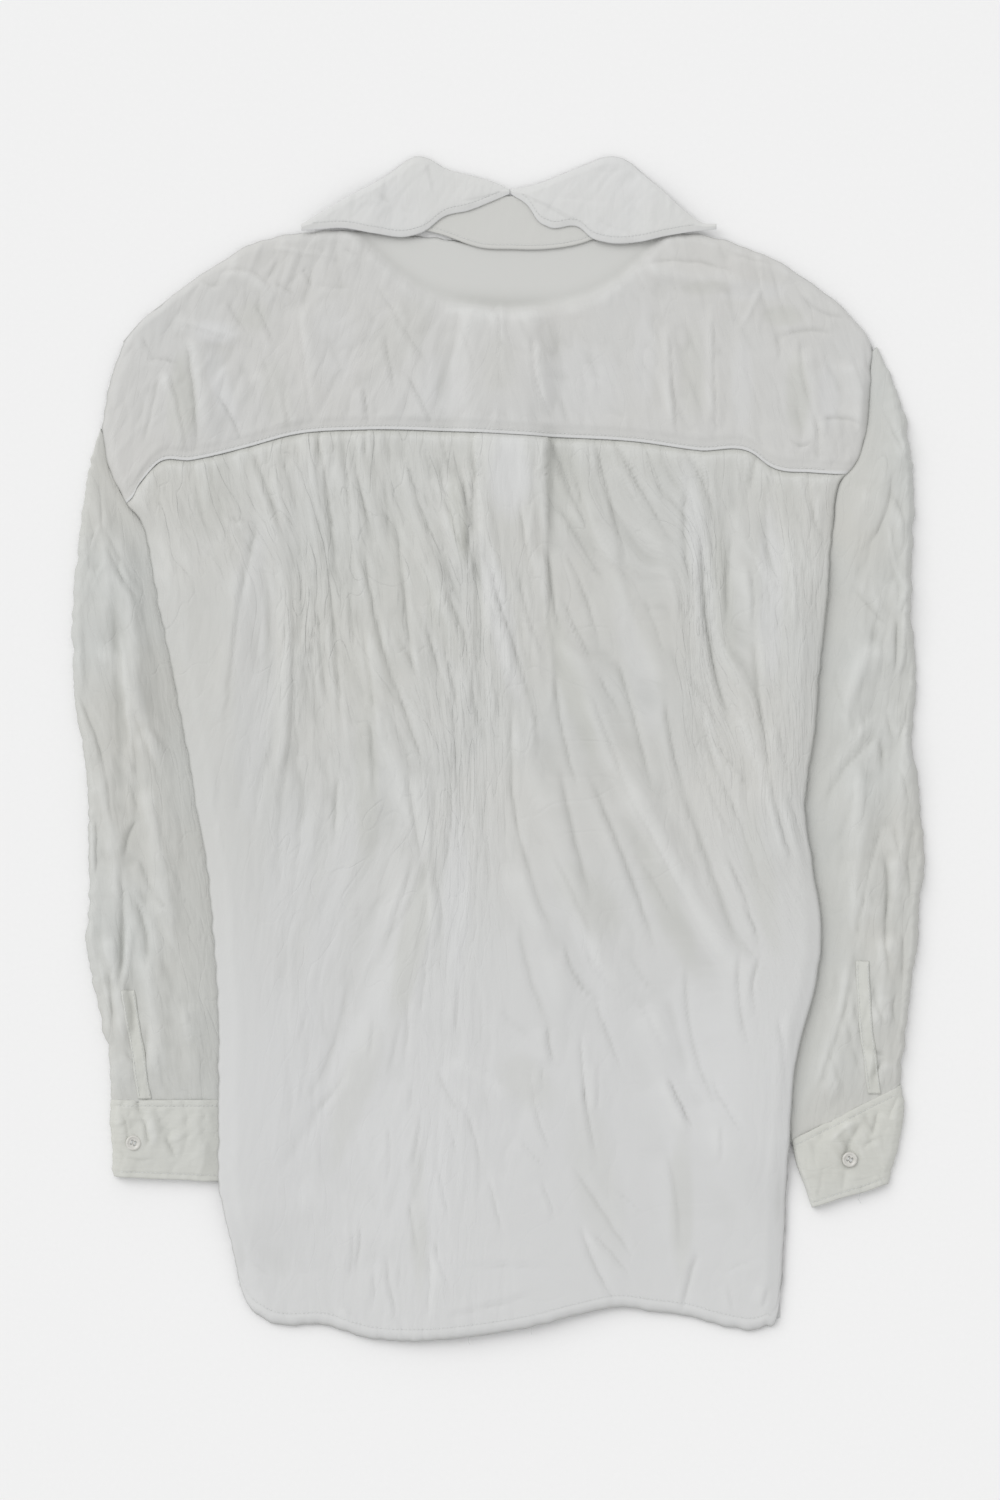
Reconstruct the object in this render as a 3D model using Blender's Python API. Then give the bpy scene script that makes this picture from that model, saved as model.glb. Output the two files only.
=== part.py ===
"""A crumpled long-sleeved shirt, laid flat on its front with its back up.

Sizes are in millimetres until a mesh is made, and the mesh is in metres. X runs across the shirt, Y up it
towards the collar, and Z up from the surface that it lies on. Left and right are as seen from above.
"""

from collections import namedtuple

import bmesh
import bpy
import numpy as np
from mathutils import Vector
from mathutils.bvhtree import BVHTree

MM = 0.001

# Walls and the room between them
WALL = 1.8  # one layer of cloth, with its crinkle
LEAF_WALL = 2.2  # the collar leaf's two layers with a stiffener between
SEAM_GAP = 0.4  # between pieces that are sewn together
LAYER_GAP = 0.7  # between a panel and what lies under it
TRIM_WALL = 1.2  # the narrow strips on the sleeves

# How the shirt lies
SLEEVE_EDGE = 4.4  # height of a sleeve's pressed inner edge, where the body lies over it
EDGE_RAMP = 26.0  # width over which the body comes down from the sleeve to the surface
BUTTON_RAISE = 2.9  # the fronts' overlap stands this high on its buttons
OVERLAP_HALF = 15.0  # half the width of the fronts' overlap
PLACKET_RAMP = 26.0  # width over which the fronts come down from the buttons
OVERLAP_RAMP = 20.0  # and from the front that lies below
OVERLAP_TOP = 334.0  # the overlap is at its full height a ramp below this
SCOOP_RAMP = 16.0  # and over which the yoke comes down inside the front neckline
HOLLOW_LIFT = 0.2  # what lies on the surface with nothing under it
BODY_PUFF = 3.2  # air in the crumpled back, between its creases
YOKE_PUFF = 1.6
SLEEVE_PUFF = 5.5
CUFF_PUFF = 2.0
NARROW_EDGE = 0.3  # most of a sleeve's width that each edge's wall may take
HEM_INSET = 7.0  # the fronts' hem lies this far inside the back's

SIDE_ROUND = 22.0  # how far in from the body's sides its puff starts
YOKE_ROUND = 16.0
SLEEVE_ROUND = 14.0
HEM_ROUND = 18.0
SEAM_ROUND = 12.0  # how far below the yoke the gathers open
NECK_PUFF = 0.25  # share of the puff left where the yoke lies single

BUTTON_RADIUS = 5.5
BUTTON_HIGH = 2.2
FRONT_BUTTONS = 7
FRONT_BUTTON_TOP = 286.0
FRONT_BUTTON_STEP = 94.0

PLEAT_HIGH = 2.6
PLEAT_LEFT, PLEAT_RIGHT = -17.0, 35.0  # the box pleat's edges at the yoke seam
PLEAT_DRIFT = 9.0  # how far its left edge leans in by the pleat's lower end
PLEAT_END = -10.0
PLEAT_EDGE = 3.0

STAND_FALL = 1.2  # how much lower the stand's upper edge lies
STAND_HIGH = 38.0
NECK_FOOT = 352.0  # the collar is sewn on just above this height
WING_PUFF = 1.2
WING_DROOP = 0.55  # share by which a wing comes down past the shoulder

Level = namedtuple("Level", "up left right")
Point = namedtuple("Point", "across up")
Section = namedtuple("Section", "outer_x outer_y inner_x inner_y")
Fold = namedtuple("Fold", "x1 y1 x2 y2 bow width height")
Tuck = namedtuple("Tuck", "begins full ends gone")

# The body's sides, from the shoulder to the hem
BODY = [Level(*row) for row in (
    (294, -270, 270), (273, -278, 269), (251, -283, 268), (231, -286, 266), (215, -284, 262),
    (204, -282, 257), (193, -277, 247), (179, -270, 243), (165, -259, 242), (149, -253, 240),
    (136, -251, 239), (107, -246, 237), (78, -240, 234), (49, -234, 231), (21, -229, 229),
    (-15, -222, 224), (-37, -219, 221), (-80, -211, 226), (-131, -206, 233), (-174, -203, 228),
    (-199, -202, 221), (-224, -202, 215), (-282, -202, 210), (-311, -202, 208), (-339, -197, 207),
    (-361, -192, 206), (-390, -186, 204),
)]

# The fold along the shoulders, which dips under the collar to the back neckline
SHOULDER = [Point(*row) for row in (
    (-270, 294), (-258, 308), (-240, 323), (-222, 337), (-199, 352), (-183, 362), (-170, 367),
    (-143, 372), (-111, 374), (-75, 372), (-49, 369), (-21, 366), (8, 365), (37, 366), (66, 369),
    (91, 371), (120, 372), (145, 371), (159, 368), (177, 362), (201, 352), (224, 337), (243, 323),
    (257, 309), (265, 299), (270, 290),
)]

# The front neckline, which lies lower and shows as an arc through the yoke
SCOOP = [Point(*row) for row in (
    (-121, 373), (-107, 364), (-89, 346), (-71, 330), (-49, 316), (-31, 310), (-6, 306),
    (15, 305), (41, 308), (66, 315), (87, 327), (105, 343), (122, 359), (132, 369),
)]

YOKE_SEAM = [Point(*row) for row in (
    (-270, 177), (-264, 183), (-258, 193), (-247, 206), (-222, 209), (-179, 219), (-150, 227),
    (-96, 231), (-21, 229), (33, 226), (102, 222), (145, 216), (185, 213), (194, 206), (228, 200),
    (244, 199),
)]

HEM = [Point(*row) for row in (
    (-186, -391), (-179, -404), (-170, -411), (-121, -417), (-100, -424), (-57, -427.3),
    (-21, -424), (23, -417), (59, -408), (87, -403), (109, -406), (138, -410), (163, -417),
    (192, -417), (201, -410), (204, -393),
)]

# The sleeves, from the armhole to the cuff. The inner edge runs on under the body's side
SLEEVE_LEFT = [Section(*row) for row in (
    (-289.5, 226, -285.7, 219), (-293, 215, -285.6, 210), (-296, 201, -281, 201), (-299, 179, -272, 180),
    (-301, 165, -262, 165), (-303, 149, -255, 149), (-306, 121, -250, 121), (-307.8, 93, -236, 93),
    (-307, 64, -222, 64), (-306, 35, -216, 35), (-301, 6, -211, 6), (-297, -23, -206, -23),
    (-296, -51, -201, -51), (-296, -80, -195, -80), (-295, -109, -193, -109),
    (-298, -138, -190, -138), (-293, -167, -188, -167), (-287, -195, -186, -195),
    (-281, -224, -186, -224), (-280, -254, -186, -254),
)]
SLEEVE_RIGHT = [Section(*row) for row in (
    (276.5, 282, 270.6, 276), (285, 265, 270.4, 259), (290, 251, 270, 244), (294, 237, 268, 229),
    (298, 208, 262, 208), (300, 179, 246, 179), (299, 150, 242, 149), (298, 121, 239.5, 121),
    (298, 93, 228, 93), (301, 64, 217, 64), (301, 35, 215, 35), (298, 6, 212, 3),
    (303, -23, 208, -30), (305, -51, 209, -62), (307.8, -80, 215, -95), (304, -109, 219, -127),
    (303, -138, 217, -159), (298, -167, 212, -192), (296, -188, 206, -224),
    (293, -213, 206, -257), (290, -243, 211, -283),
)]
CUFF_LEFT = [Section(*row) for row in (
    (-280, -254.6, -186, -254.6), (-280, -270, -186, -271), (-279, -290, -187, -292),
    (-278, -309, -188, -313),
)]
CUFF_RIGHT = [Section(*row) for row in (
    (290, -243.6, 211.4, -283.6), (293, -262, 215, -300), (288, -289, 221, -316),
    (281, -314, 226, -331),
)]

# Where the sleeves lie under the body's sides, by height
TUCK_LEFT = Tuck(165, 120, -326, -376)
TUCK_RIGHT = Tuck(165, 120, -278, -340)
TUCK_WIDE = 20.0

# The two wings of the collar leaf, each by its upper and its lower edge
WING_LEFT_TOP = [Point(*row) for row in (
    (-142, 378), (-129, 386), (-107, 399), (-85, 411), (-75, 418), (-67, 424), (-60, 427.3),
    (-51, 426), (-39, 419), (-21, 414), (-4, 409), (8, 403.5),
)]
WING_LEFT_LOW = [Point(*row) for row in (
    (-142, 373), (-129, 374), (-114, 375), (-89, 371), (-65, 369), (-53, 373), (-40, 383),
    (-21, 388), (-6, 394), (8, 400),
)]
WING_RIGHT_TOP = [Point(*row) for row in (
    (9, 403.5), (26, 407), (44, 414), (66, 423), (77, 427), (86, 427), (95, 423), (105, 414),
    (120, 401), (134, 388), (147, 379), (157, 378),
)]
WING_RIGHT_LOW = [Point(*row) for row in (
    (9, 400), (23, 389), (28, 381), (36, 376), (59, 375), (67, 368), (76, 365), (102, 365),
    (120, 369), (138, 372), (157, 374),
)]
STAND_LOW = [Point(*row) for row in (
    (-62, 376), (-42, 371), (-12, 361), (10, 360), (33, 360), (62, 365), (84, 375),
)]
STAND_TOP = [Point(*row) for row in (
    (-62, 386), (-42, 391), (-12, 397), (10, 398.5), (33, 396), (62, 391), (84, 384),
)]

BACK_FOLDS = [Fold(*row) for row in (
    (-176, 214, -160, -30, 16, 9, 4.0), (-143, 222, -107, -30, -2, 8, 3.5),
    (-121, 222, -80, 0, 3, 7, 3.0), (-71, 214, -35, 78, -3, 7, 3.0),
    (-96, 92, -49, -87, -6, 9, 4.0), (-78, -23, -143, -282, 8, 16, -2.6),
    (-49, -87, -121, -267, 6, 16, 3.0), (-42, 200, -20, 110, 0, 6, 2.5),
    (73, 215, 145, 78, 4, 8, 3.0), (37, 107, 186, -188, -8, 10, 4.5),
    (55, 193, 131, 6, 4, 8, 3.5), (138, 211, 217, -87, -12, 9, 4.6),
    (170, 179, 199, 35, -3, 8, 3.5), (8, 35, 102, -217, -5, 10, 3.5),
    (87, -23, 174, -174, 4, 9, 3.5), (8, -80, 51, -210, 4, 9, 3.0),
    (-35, -221, 15, -260, 3, 10, 3.0), (102, -181, 138, -325, 5, 12, 2.5),
    (-186, 136, -193, -37, -6, 14, 3.0), (145, -253, 188, -361, 5, 12, 2.0),
    (-143, -311, -57, -361, -6, 14, 2.0), (210, 179, 203, -8, 4, 9, 3.0),
)]
YOKE_FOLDS = [Fold(*row) for row in (
    (-240, 273, -224, 211, 2, 7, 3.5), (-222, 301, -211, 215, 3, 8, 4.0),
    (-235, 307, -179, 294, -2, 5, 3.0), (-197, 348, -157, 323, 3, 9, 3.5),
    (-175, 273, -147, 228, 2, 7, 3.0), (-143, 323, -134, 233, 0, 9, 2.5),
    (-78, 323, -42, 237, -3, 7, 2.0), (26, 294, 33, 240, 2, 6, 1.8),
    (122, 309, 125, 222, 0, 5, 2.5), (154, 323, 156, 222, 0, 5, 2.5),
    (102, 346, 188, 337, -3, 6, 2.6), (217, 291, 230, 208, 3, 8, 4.0),
    (253, 280, 262, 222, 2, 7, 3.0),
)]
SLEEVE_LEFT_FOLDS = [Fold(*row) for row in (
    (-287, 193, -280, 78, 2, 7, 4.5), (-272, 164, -262, -8, 4, 8, 6.0),
    (-287, 78, -237, -23, 4, 8, 4.5), (-290, -8, -272, -138, 3, 7, 5.0),
    (-251, -23, -233, -152, -3, 9, 5.0), (-283, -131, -269, -224, 2, 6, 5.5),
    (-255, -145, -244, -246, 2, 8, 5.0), (-222, -181, -215, -249, 0, 8, 3.5),
)]
SLEEVE_RIGHT_FOLDS = [Fold(*row) for row in (
    (278, 251, 293, 200, 2, 6, 4.5), (267, 193, 242, 107, -3, 9, 5.0),
    (289, 179, 293, 64, 2, 6, 4.5), (275, 78, 239, 6, -3, 9, 5.0),
    (293, 21, 282, -109, 3, 7, 5.5), (260, -8, 250, -152, 3, 9, 5.0),
    (282, -131, 275, -217, -2, 7, 5.0), (253, -152, 217, -267, 4, 7, 5.5),
)]


def read(table, x, key=0, value=1):
    """A smooth curve through a table's rows, read at x from the column key to the column value."""
    rows = np.array(sorted([row[key], row[value]] for row in table), float)
    keys, values = rows[:, 0], rows[:, 1]
    slopes = np.gradient(values, keys)
    x = np.clip(x, keys[0], keys[-1])
    row = np.clip(np.searchsorted(keys, x, side="right") - 1, 0, len(keys) - 2)
    wide = keys[row + 1] - keys[row]
    t = (x - keys[row]) / wide
    bend_in = slopes[row] * wide * t * (1 - t) ** 2
    bend_out = slopes[row + 1] * wide * t**2 * (1 - t)
    ease = t * t * (3 - 2 * t)
    return values[row] * (1 - ease) + values[row + 1] * ease + bend_in - bend_out


def step(x):
    """From 0 to 1, smoothly, as x goes from 0 to 1."""
    x = np.clip(x, 0.0, 1.0)
    return x * x * (3 - 2 * x)


def body_left(y):
    return read(BODY, y, 0, 1)


def body_right(y):
    return read(BODY, y, 0, 2)


def fold_height(folds, x, y):
    """The height that soft folds add at (x, y). Each follows a bowed line and dies out at its ends."""
    total = np.zeros_like(np.asarray(x, float) + y)
    for fold in folds:
        run_x, run_y = fold.x2 - fold.x1, fold.y2 - fold.y1
        length = np.hypot(run_x, run_y)
        s = ((x - fold.x1) * run_x + (y - fold.y1) * run_y) / length**2
        away = ((y - fold.y1) * run_x - (x - fold.x1) * run_y) / length
        away = away - fold.bow * 4 * s * (1 - s)
        total += fold.height * np.exp(-((away / fold.width) ** 2)) * step(s / 0.15) * step((1 - s) / 0.3)
    return total


def tucked(y, tuck):
    """From 0 to 1, how fully a sleeve lies under the body's side at the height y."""
    below = step((tuck.begins - y) / (tuck.begins - tuck.full))
    return below * step((y - tuck.gone) / (tuck.ends - tuck.gone))


def side_lift(x, y):
    """How high the sleeves under its sides lift the body."""
    left = tucked(y, TUCK_LEFT) * (1 - step((x - body_left(y) - TUCK_WIDE) / EDGE_RAMP))
    right = tucked(y, TUCK_RIGHT) * (1 - step((body_right(y) - x - TUCK_WIDE) / EDGE_RAMP))
    return (SLEEVE_EDGE + LAYER_GAP) * (left + right)


def placket_lift(x, y):
    """How high the front buttons lift the fronts along the overlap."""
    below_neck = step((OVERLAP_TOP - y) / OVERLAP_RAMP)
    return BUTTON_RAISE * below_neck * (1 - step((np.abs(x) - OVERLAP_HALF - 2) / PLACKET_RAMP))


def second_front(x, y):
    """The extra height where one front lies on the other."""
    beside = step((np.abs(x) - OVERLAP_HALF - 5) / (OVERLAP_RAMP + 2))
    return (WALL + SEAM_GAP) * (1 - beside) * step((OVERLAP_TOP - 8 - y) / 12)


def in_scoop(x, y):
    """From 0 to 1, how far (x, y) is inside the front neckline, where no front lies under the yoke."""
    ends = step((x - SCOOP[0].across - 3) / 14) * step((SCOOP[-1].across - 4 - x) / 14)
    return step((y - read(SCOOP, x) - 3) / SCOOP_RAMP) * ends


def under_back(x, y):
    """The height of what the back and yoke lie on."""
    fronts = WALL + side_lift(x, y) + placket_lift(x, y) + second_front(x, y)
    return fronts * (1 - in_scoop(x, y)) + HOLLOW_LIFT


def box_pleat(x, y):
    """The pleat's raised band, with steep edges that fade out down the back."""
    down = (read(YOKE_SEAM, x) - y) / (read(YOKE_SEAM, x) - PLEAT_END)
    left, right = PLEAT_LEFT + PLEAT_DRIFT * down, PLEAT_RIGHT + 2 * down
    band = step((x - left) / PLEAT_EDGE) * step((right - x) / PLEAT_EDGE)
    return PLEAT_HIGH * band * step((1 - down) / 0.7)


def off_sides(x, y, wide):
    """From 0 at the body's sides to 1 at this distance inside them."""
    return step((x - body_left(y)) / wide) * step((body_right(y) - x) / wide)


def back_top(x, y):
    from_seam = 0.35 + 0.65 * step((read(YOKE_SEAM, x) - y) / SEAM_ROUND)
    from_hem = step((y - read(HEM, x)) / HEM_ROUND)
    inside = off_sides(x, y, SIDE_ROUND)
    puff = BODY_PUFF + fold_height(BACK_FOLDS, x, y)
    loft = from_hem * from_seam * np.maximum(puff, 0.4) + box_pleat(x, y)
    return under_back(x, y) + LAYER_GAP + WALL + inside * loft


def yoke_top(x, y):
    inside = step((read(SHOULDER, x) - y) / YOKE_ROUND) * off_sides(x, y, YOKE_ROUND)
    share = 1 - (1 - NECK_PUFF) * in_scoop(x, y)
    puff = share * (YOKE_PUFF + fold_height(YOKE_FOLDS, x, y))
    return under_back(x, y) + LAYER_GAP + WALL + inside * np.maximum(puff, 0.3)


def wing_floor(x, y):
    """The height of what the collar's wings lie on: the yoke, the stand, and past them the surface."""
    over_edge = y - read(SHOULDER, x)
    rest = yoke_top(x, np.minimum(y, read(SHOULDER, x) - 4))
    high = np.maximum(rest, stand_top(x, y) * step((y - NECK_FOOT) / 6)) + HOLLOW_LIFT
    return high * (1 - WING_DROOP * step((over_edge - 26) / 26))


def stand_top(x, y):
    up = np.clip((y - NECK_FOOT - 8) / STAND_HIGH, 0, 1)
    yoke_edge = under_back(x, np.full_like(y, NECK_FOOT)) + LAYER_GAP + WALL
    return yoke_edge + SEAM_GAP + 0.1 + WALL - STAND_FALL * up


def wall_mesh(across, down, outer, inner, ring=False):
    """A closed wall. A grid takes the outer face's shape, and is extruded to the inner face's."""
    mesh = bmesh.new()
    u_of = mesh.verts.layers.float.new("across")
    v_of = mesh.verts.layers.float.new("down")
    columns, rows = len(across) - 1, len(down) - 1
    bmesh.ops.create_grid(mesh, x_segments=columns, y_segments=rows, size=0.5)
    for vert in mesh.verts:
        vert[u_of] = across[round((vert.co.x + 0.5) * columns)]
        vert[v_of] = down[round((0.5 - vert.co.y) * rows)]
    place(list(mesh.verts), u_of, v_of, outer)
    if ring:
        bmesh.ops.remove_doubles(mesh, verts=mesh.verts, dist=1e-4 * MM)
    grown = bmesh.ops.extrude_face_region(mesh, geom=list(mesh.faces))["geom"]
    place([item for item in grown if isinstance(item, bmesh.types.BMVert)], u_of, v_of, inner)
    bmesh.ops.recalc_face_normals(mesh, faces=mesh.faces)
    return mesh


def place(verts, u_of, v_of, shape):
    u = np.array([vert[u_of] for vert in verts])
    v = np.array([vert[v_of] for vert in verts])
    for vert, spot in zip(verts, np.stack(shape(u, v), -1)):
        vert.co = Vector(spot) * MM


def add(name, mesh, material):
    data = bpy.data.meshes.new(name)
    mesh.to_mesh(data)
    mesh.free()
    data.materials.append(material)
    data.shade_smooth()
    obj = bpy.data.objects.new(name, data)
    bpy.context.scene.collection.objects.link(obj)
    return obj


def finish(name, colour, roughness):
    material = bpy.data.materials.new(name)
    material.use_nodes = True
    shader = material.node_tree.nodes["Principled BSDF"]
    shader.inputs["Base Color"].default_value = (*colour, 1)
    shader.inputs["Roughness"].default_value = roughness
    shader.inputs["Metallic"].default_value = 0
    return material


def panel(name, across, down, top_edge, low_edge, left, right, height, wall, material):
    """One layer of cloth between four edges, whose top lies at height(x, y)."""

    def outer(u, v):
        y = top_edge(u) * (1 - v) + low_edge(u) * v
        x = left(y) * (1 - u) + right(y) * u
        return x, y, height(x, y)

    def inner(u, v):
        x, y, z = outer(u, v)
        return x, y, z - wall

    return add(name, wall_mesh(across, down, outer, inner), material)


def lerp(low, high, t):
    return low + (high - low) * t


def make_back(material):
    top_left, top_right = body_left(179.0), body_right(199.0)
    pleat = [(x - top_left) / (top_right - top_left) for x in (-20, -16.5, -13, 31, 34.5, 38)]
    plain = [u for u in np.linspace(0, 1, 39) if min(abs(u - p) for p in pleat) > 0.011]
    across = sorted(plain + pleat + [0.012, 0.988])
    down = np.concatenate([[0, 0.012, 0.03], np.linspace(0.06, 0.97, 22), [0.988, 1]])

    def top_edge(u):
        return read(YOKE_SEAM, lerp(top_left, top_right, u)) - SEAM_GAP

    def low_edge(u):
        return read(HEM, lerp(-186, 204, u))

    return panel("back", across, down, top_edge, low_edge, body_left, body_right, back_top, WALL, material)


def make_yoke(material):
    across = sorted([0.014, 0.986, *np.linspace(0, 1, 41)])
    down = np.concatenate([[0, 0.06], np.linspace(0.15, 0.9, 8), [0.96, 1]])

    def top_edge(u):
        return read(SHOULDER, lerp(-270, 270, u))

    def low_edge(u):
        return read(YOKE_SEAM, lerp(-270, 244, u)) + SEAM_GAP

    def left(y):
        return body_left(np.minimum(y, 294.0))

    def right(y):
        return body_right(np.minimum(y, 294.0))

    return panel("yoke", across, down, top_edge, low_edge, left, right, yoke_top, WALL, material)


def make_front(name, side, material):
    """side is -1 for the left front, which lies lowest, and 1 for the right one on it."""
    over_sleeve = [0, 0.05, 0.09, 0.13, 0.18, 0.24]
    over_buttons = [0.76, 0.8, 0.835, 0.87, 0.9, 0.94, 1]
    across = [*over_sleeve, 0.34, 0.45, 0.56, 0.66, *over_buttons]
    down = np.concatenate([np.linspace(0, 0.3, 7), np.linspace(0.36, 1, 14)])
    second = WALL + SEAM_GAP if side > 0 else 0.0

    def outer_edge(y):
        y = np.minimum(y, 290.0)
        return (body_left(y) + 0.6) if side < 0 else (body_right(y) - 0.6)

    def inner_edge(y):
        return np.full_like(y, -side * OVERLAP_HALF)

    def neck_and_shoulder(u):
        x = lerp(side * 269.0, -side * OVERLAP_HALF, u)
        scoop = np.where((x > -121) & (x < 132), read(SCOOP, x), 999.0)
        return np.minimum(read(SHOULDER, x) - 1.0, scoop)

    def front_hem(u):
        x = lerp(side * 190.0, -side * OVERLAP_HALF, u)
        return read(HEM, x) + HEM_INSET

    def height(x, y):
        laid_over = second * (1 - step((np.abs(x) - OVERLAP_HALF - 3) / 20))
        return WALL + side_lift(x, y) + placket_lift(x, y) + laid_over

    return panel(
        name, across, down, neck_and_shoulder, front_hem, outer_edge, inner_edge, height, WALL, material
    )


def ring_places(top_steps, under_steps):
    """Places round a flattened tube: (fraction across, 1 on top, -1 under, 0 on an edge)."""
    over = [(f, 1) for f in top_steps]
    under = [(f, -1) for f in reversed(under_steps)]
    return [(0.0, 0), *over, (1.0, 0), *under, (0.0, 0)]


def tube(name, sections, ring, top, wall, down, material):
    """A flattened tube through slanted sections, open at both ends, its underside on the surface."""
    rows = np.array(sections, float)
    stations = np.linspace(0, 1, len(rows))
    places = np.array(ring, float)
    across = np.linspace(0, 1, len(ring))

    def spot(u, v, inset):
        number = np.rint(u * (len(ring) - 1)).astype(int)
        f, side = places[number, 0], places[number, 1]
        ends = [read(list(zip(stations, rows[:, column])), v) for column in range(4)]
        outer_x, outer_y, inner_x, inner_y = ends
        wide = np.hypot(inner_x - outer_x, inner_y - outer_y)
        edge = np.minimum(inset / wide, NARROW_EDGE)
        f = edge + f * (1 - 2 * edge)
        x, y = lerp(outer_x, inner_x, f), lerp(outer_y, inner_y, f)
        high = top(x, y, f * wide, (1 - f) * wide, v)
        low = np.full_like(high, inset)
        high = high - inset
        middle = (high + low) / 2
        return x, y, np.where(side > 0, high, np.where(side < 0, low, middle))

    def outer(u, v):
        return spot(u, v, 0.0)

    def inner(u, v):
        return spot(u, v, wall)

    return add(name, wall_mesh(across, down, outer, inner, ring=True), material)


def make_sleeve(name, side, sections, folds, material):
    ring = ring_places((0.035, 0.09, 0.18, 0.28, 0.39, 0.5, 0.61, 0.72, 0.83, 0.95), (0.05, 0.35, 0.65, 0.95))

    def top(x, y, from_outer, from_inner, v):
        shown = (body_left(y) - x) if side < 0 else (x - body_right(y))
        clear = step((shown - 3) / SLEEVE_ROUND)
        rounded = step((from_outer + 2) / SLEEVE_ROUND)
        loft = SLEEVE_PUFF + fold_height(folds, x, y)
        narrow = step((from_outer + from_inner) / 30)
        to_cuff = 0.45 + 0.55 * step((1 - v) / 0.08)
        return SLEEVE_EDGE - 0.3 + clear * rounded * narrow * to_cuff * np.maximum(loft, 0)

    down = np.concatenate([np.linspace(0, 0.96, 25), [1]])
    return tube(name, sections, ring, top, WALL, down, material)


def cuff_top(x, y, from_outer, from_inner, shown):
    clear = step((shown - 3) / SLEEVE_ROUND)
    return SLEEVE_EDGE + 0.4 + clear * CUFF_PUFF * step((from_outer + 2) / SLEEVE_ROUND)


def make_cuff(name, side, sections, material):
    ring = ring_places((0.04, 0.15, 0.3, 0.5, 0.7, 0.85, 0.96), (0.05, 0.5, 0.95))

    def top(x, y, from_outer, from_inner, v):
        shown = (body_left(y) - x) if side < 0 else (x - body_right(y))
        return cuff_top(x, y, from_outer, from_inner, shown)

    return tube(name, sections, ring, top, WALL, np.linspace(0, 1, 6), material)


def make_strip(name, under, route, half_wide, material):
    """A narrow strip whose underside follows the top of the piece it lies on."""
    surface = BVHTree.FromObject(under, bpy.context.evaluated_depsgraph_get())

    def top_of(x, y):
        near = [
            surface.ray_cast(Vector((x + dx, y + dy, 60)) * MM, Vector((0, 0, -1)))[0]
            for dx in (-3, 0, 3) for dy in (-3, 0, 3)
        ]
        return max(hit.z for hit in near if hit) / MM

    def outer(u, v):
        x = read([(p.up, p.across) for p in route], lerp(route[0].up, route[-1].up, v))
        y = lerp(route[0].up, route[-1].up, v)
        x = x + half_wide * (2 * u - 1)
        z = np.array([top_of(*spot) for spot in zip(x, y)])
        return x, y, z + SEAM_GAP + TRIM_WALL

    def inner(u, v):
        x, y, z = outer(u, v)
        return x, y, z - TRIM_WALL

    return add(name, wall_mesh((0, 0.5, 1), np.linspace(0, 1, 15), outer, inner), material)


def make_wing(name, upper, lower, material):
    first, last = upper[0].across, upper[-1].across
    across = np.linspace(0, 1, 21)

    def outer(u, v):
        x = lerp(first, last, u)
        y = lerp(read(upper, x), read(lower, x), v)
        edge = step(np.minimum(v, 1 - v) / 0.2)
        return x, y, wing_floor(x, y) + SEAM_GAP + LEAF_WALL + WING_PUFF * edge

    def inner(u, v):
        x, y, z = outer(u, v)
        return x, y, z - LEAF_WALL

    return add(name, wall_mesh(across, np.linspace(0, 1, 6), outer, inner), material)


def make_stand(material):
    def outer(u, v):
        x = lerp(STAND_LOW[0].across, STAND_LOW[-1].across, u)
        y = lerp(read(STAND_TOP, x), read(STAND_LOW, x), v)
        return x, y, stand_top(x, y)

    def inner(u, v):
        x, y, z = outer(u, v)
        return x, y, z - WALL

    return add("collar_stand", wall_mesh(np.linspace(0, 1, 19), np.linspace(0, 1, 5), outer, inner), material)


def make_button(name, x, y, low, material):
    mesh = bmesh.new()
    bmesh.ops.create_cone(
        mesh, cap_ends=True, segments=16, depth=BUTTON_HIGH * MM,
        radius1=BUTTON_RADIUS * MM, radius2=BUTTON_RADIUS * MM,
    )
    rims = [edge for edge in mesh.edges if len({face.normal.z > 0.5 for face in edge.link_faces}) == 2]
    bmesh.ops.bevel(
        mesh, geom=rims, offset=0.4 * MM, offset_type="OFFSET", affect="EDGES", segments=1,
        profile=0.5, material=-1,
    )
    button = add(name, mesh, material)
    button.location = Vector((x, y, low + BUTTON_HIGH / 2)) * MM
    return button


def make_cuff_button(name, x, y, cuff, material):
    surface = BVHTree.FromObject(cuff, bpy.context.evaluated_depsgraph_get())
    turns = np.linspace(0, 2 * np.pi, 12, endpoint=False)
    ring = [(BUTTON_RADIUS * np.cos(turn), BUTTON_RADIUS * np.sin(turn)) for turn in turns]
    hits = [
        surface.ray_cast(Vector((x + dx, y + dy, 60)) * MM, Vector((0, 0, -1)))[0]
        for dx, dy in [(0, 0), *ring]
    ]
    return make_button(name, x, y, max(hit.z for hit in hits) / MM + SEAM_GAP, material)


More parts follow.
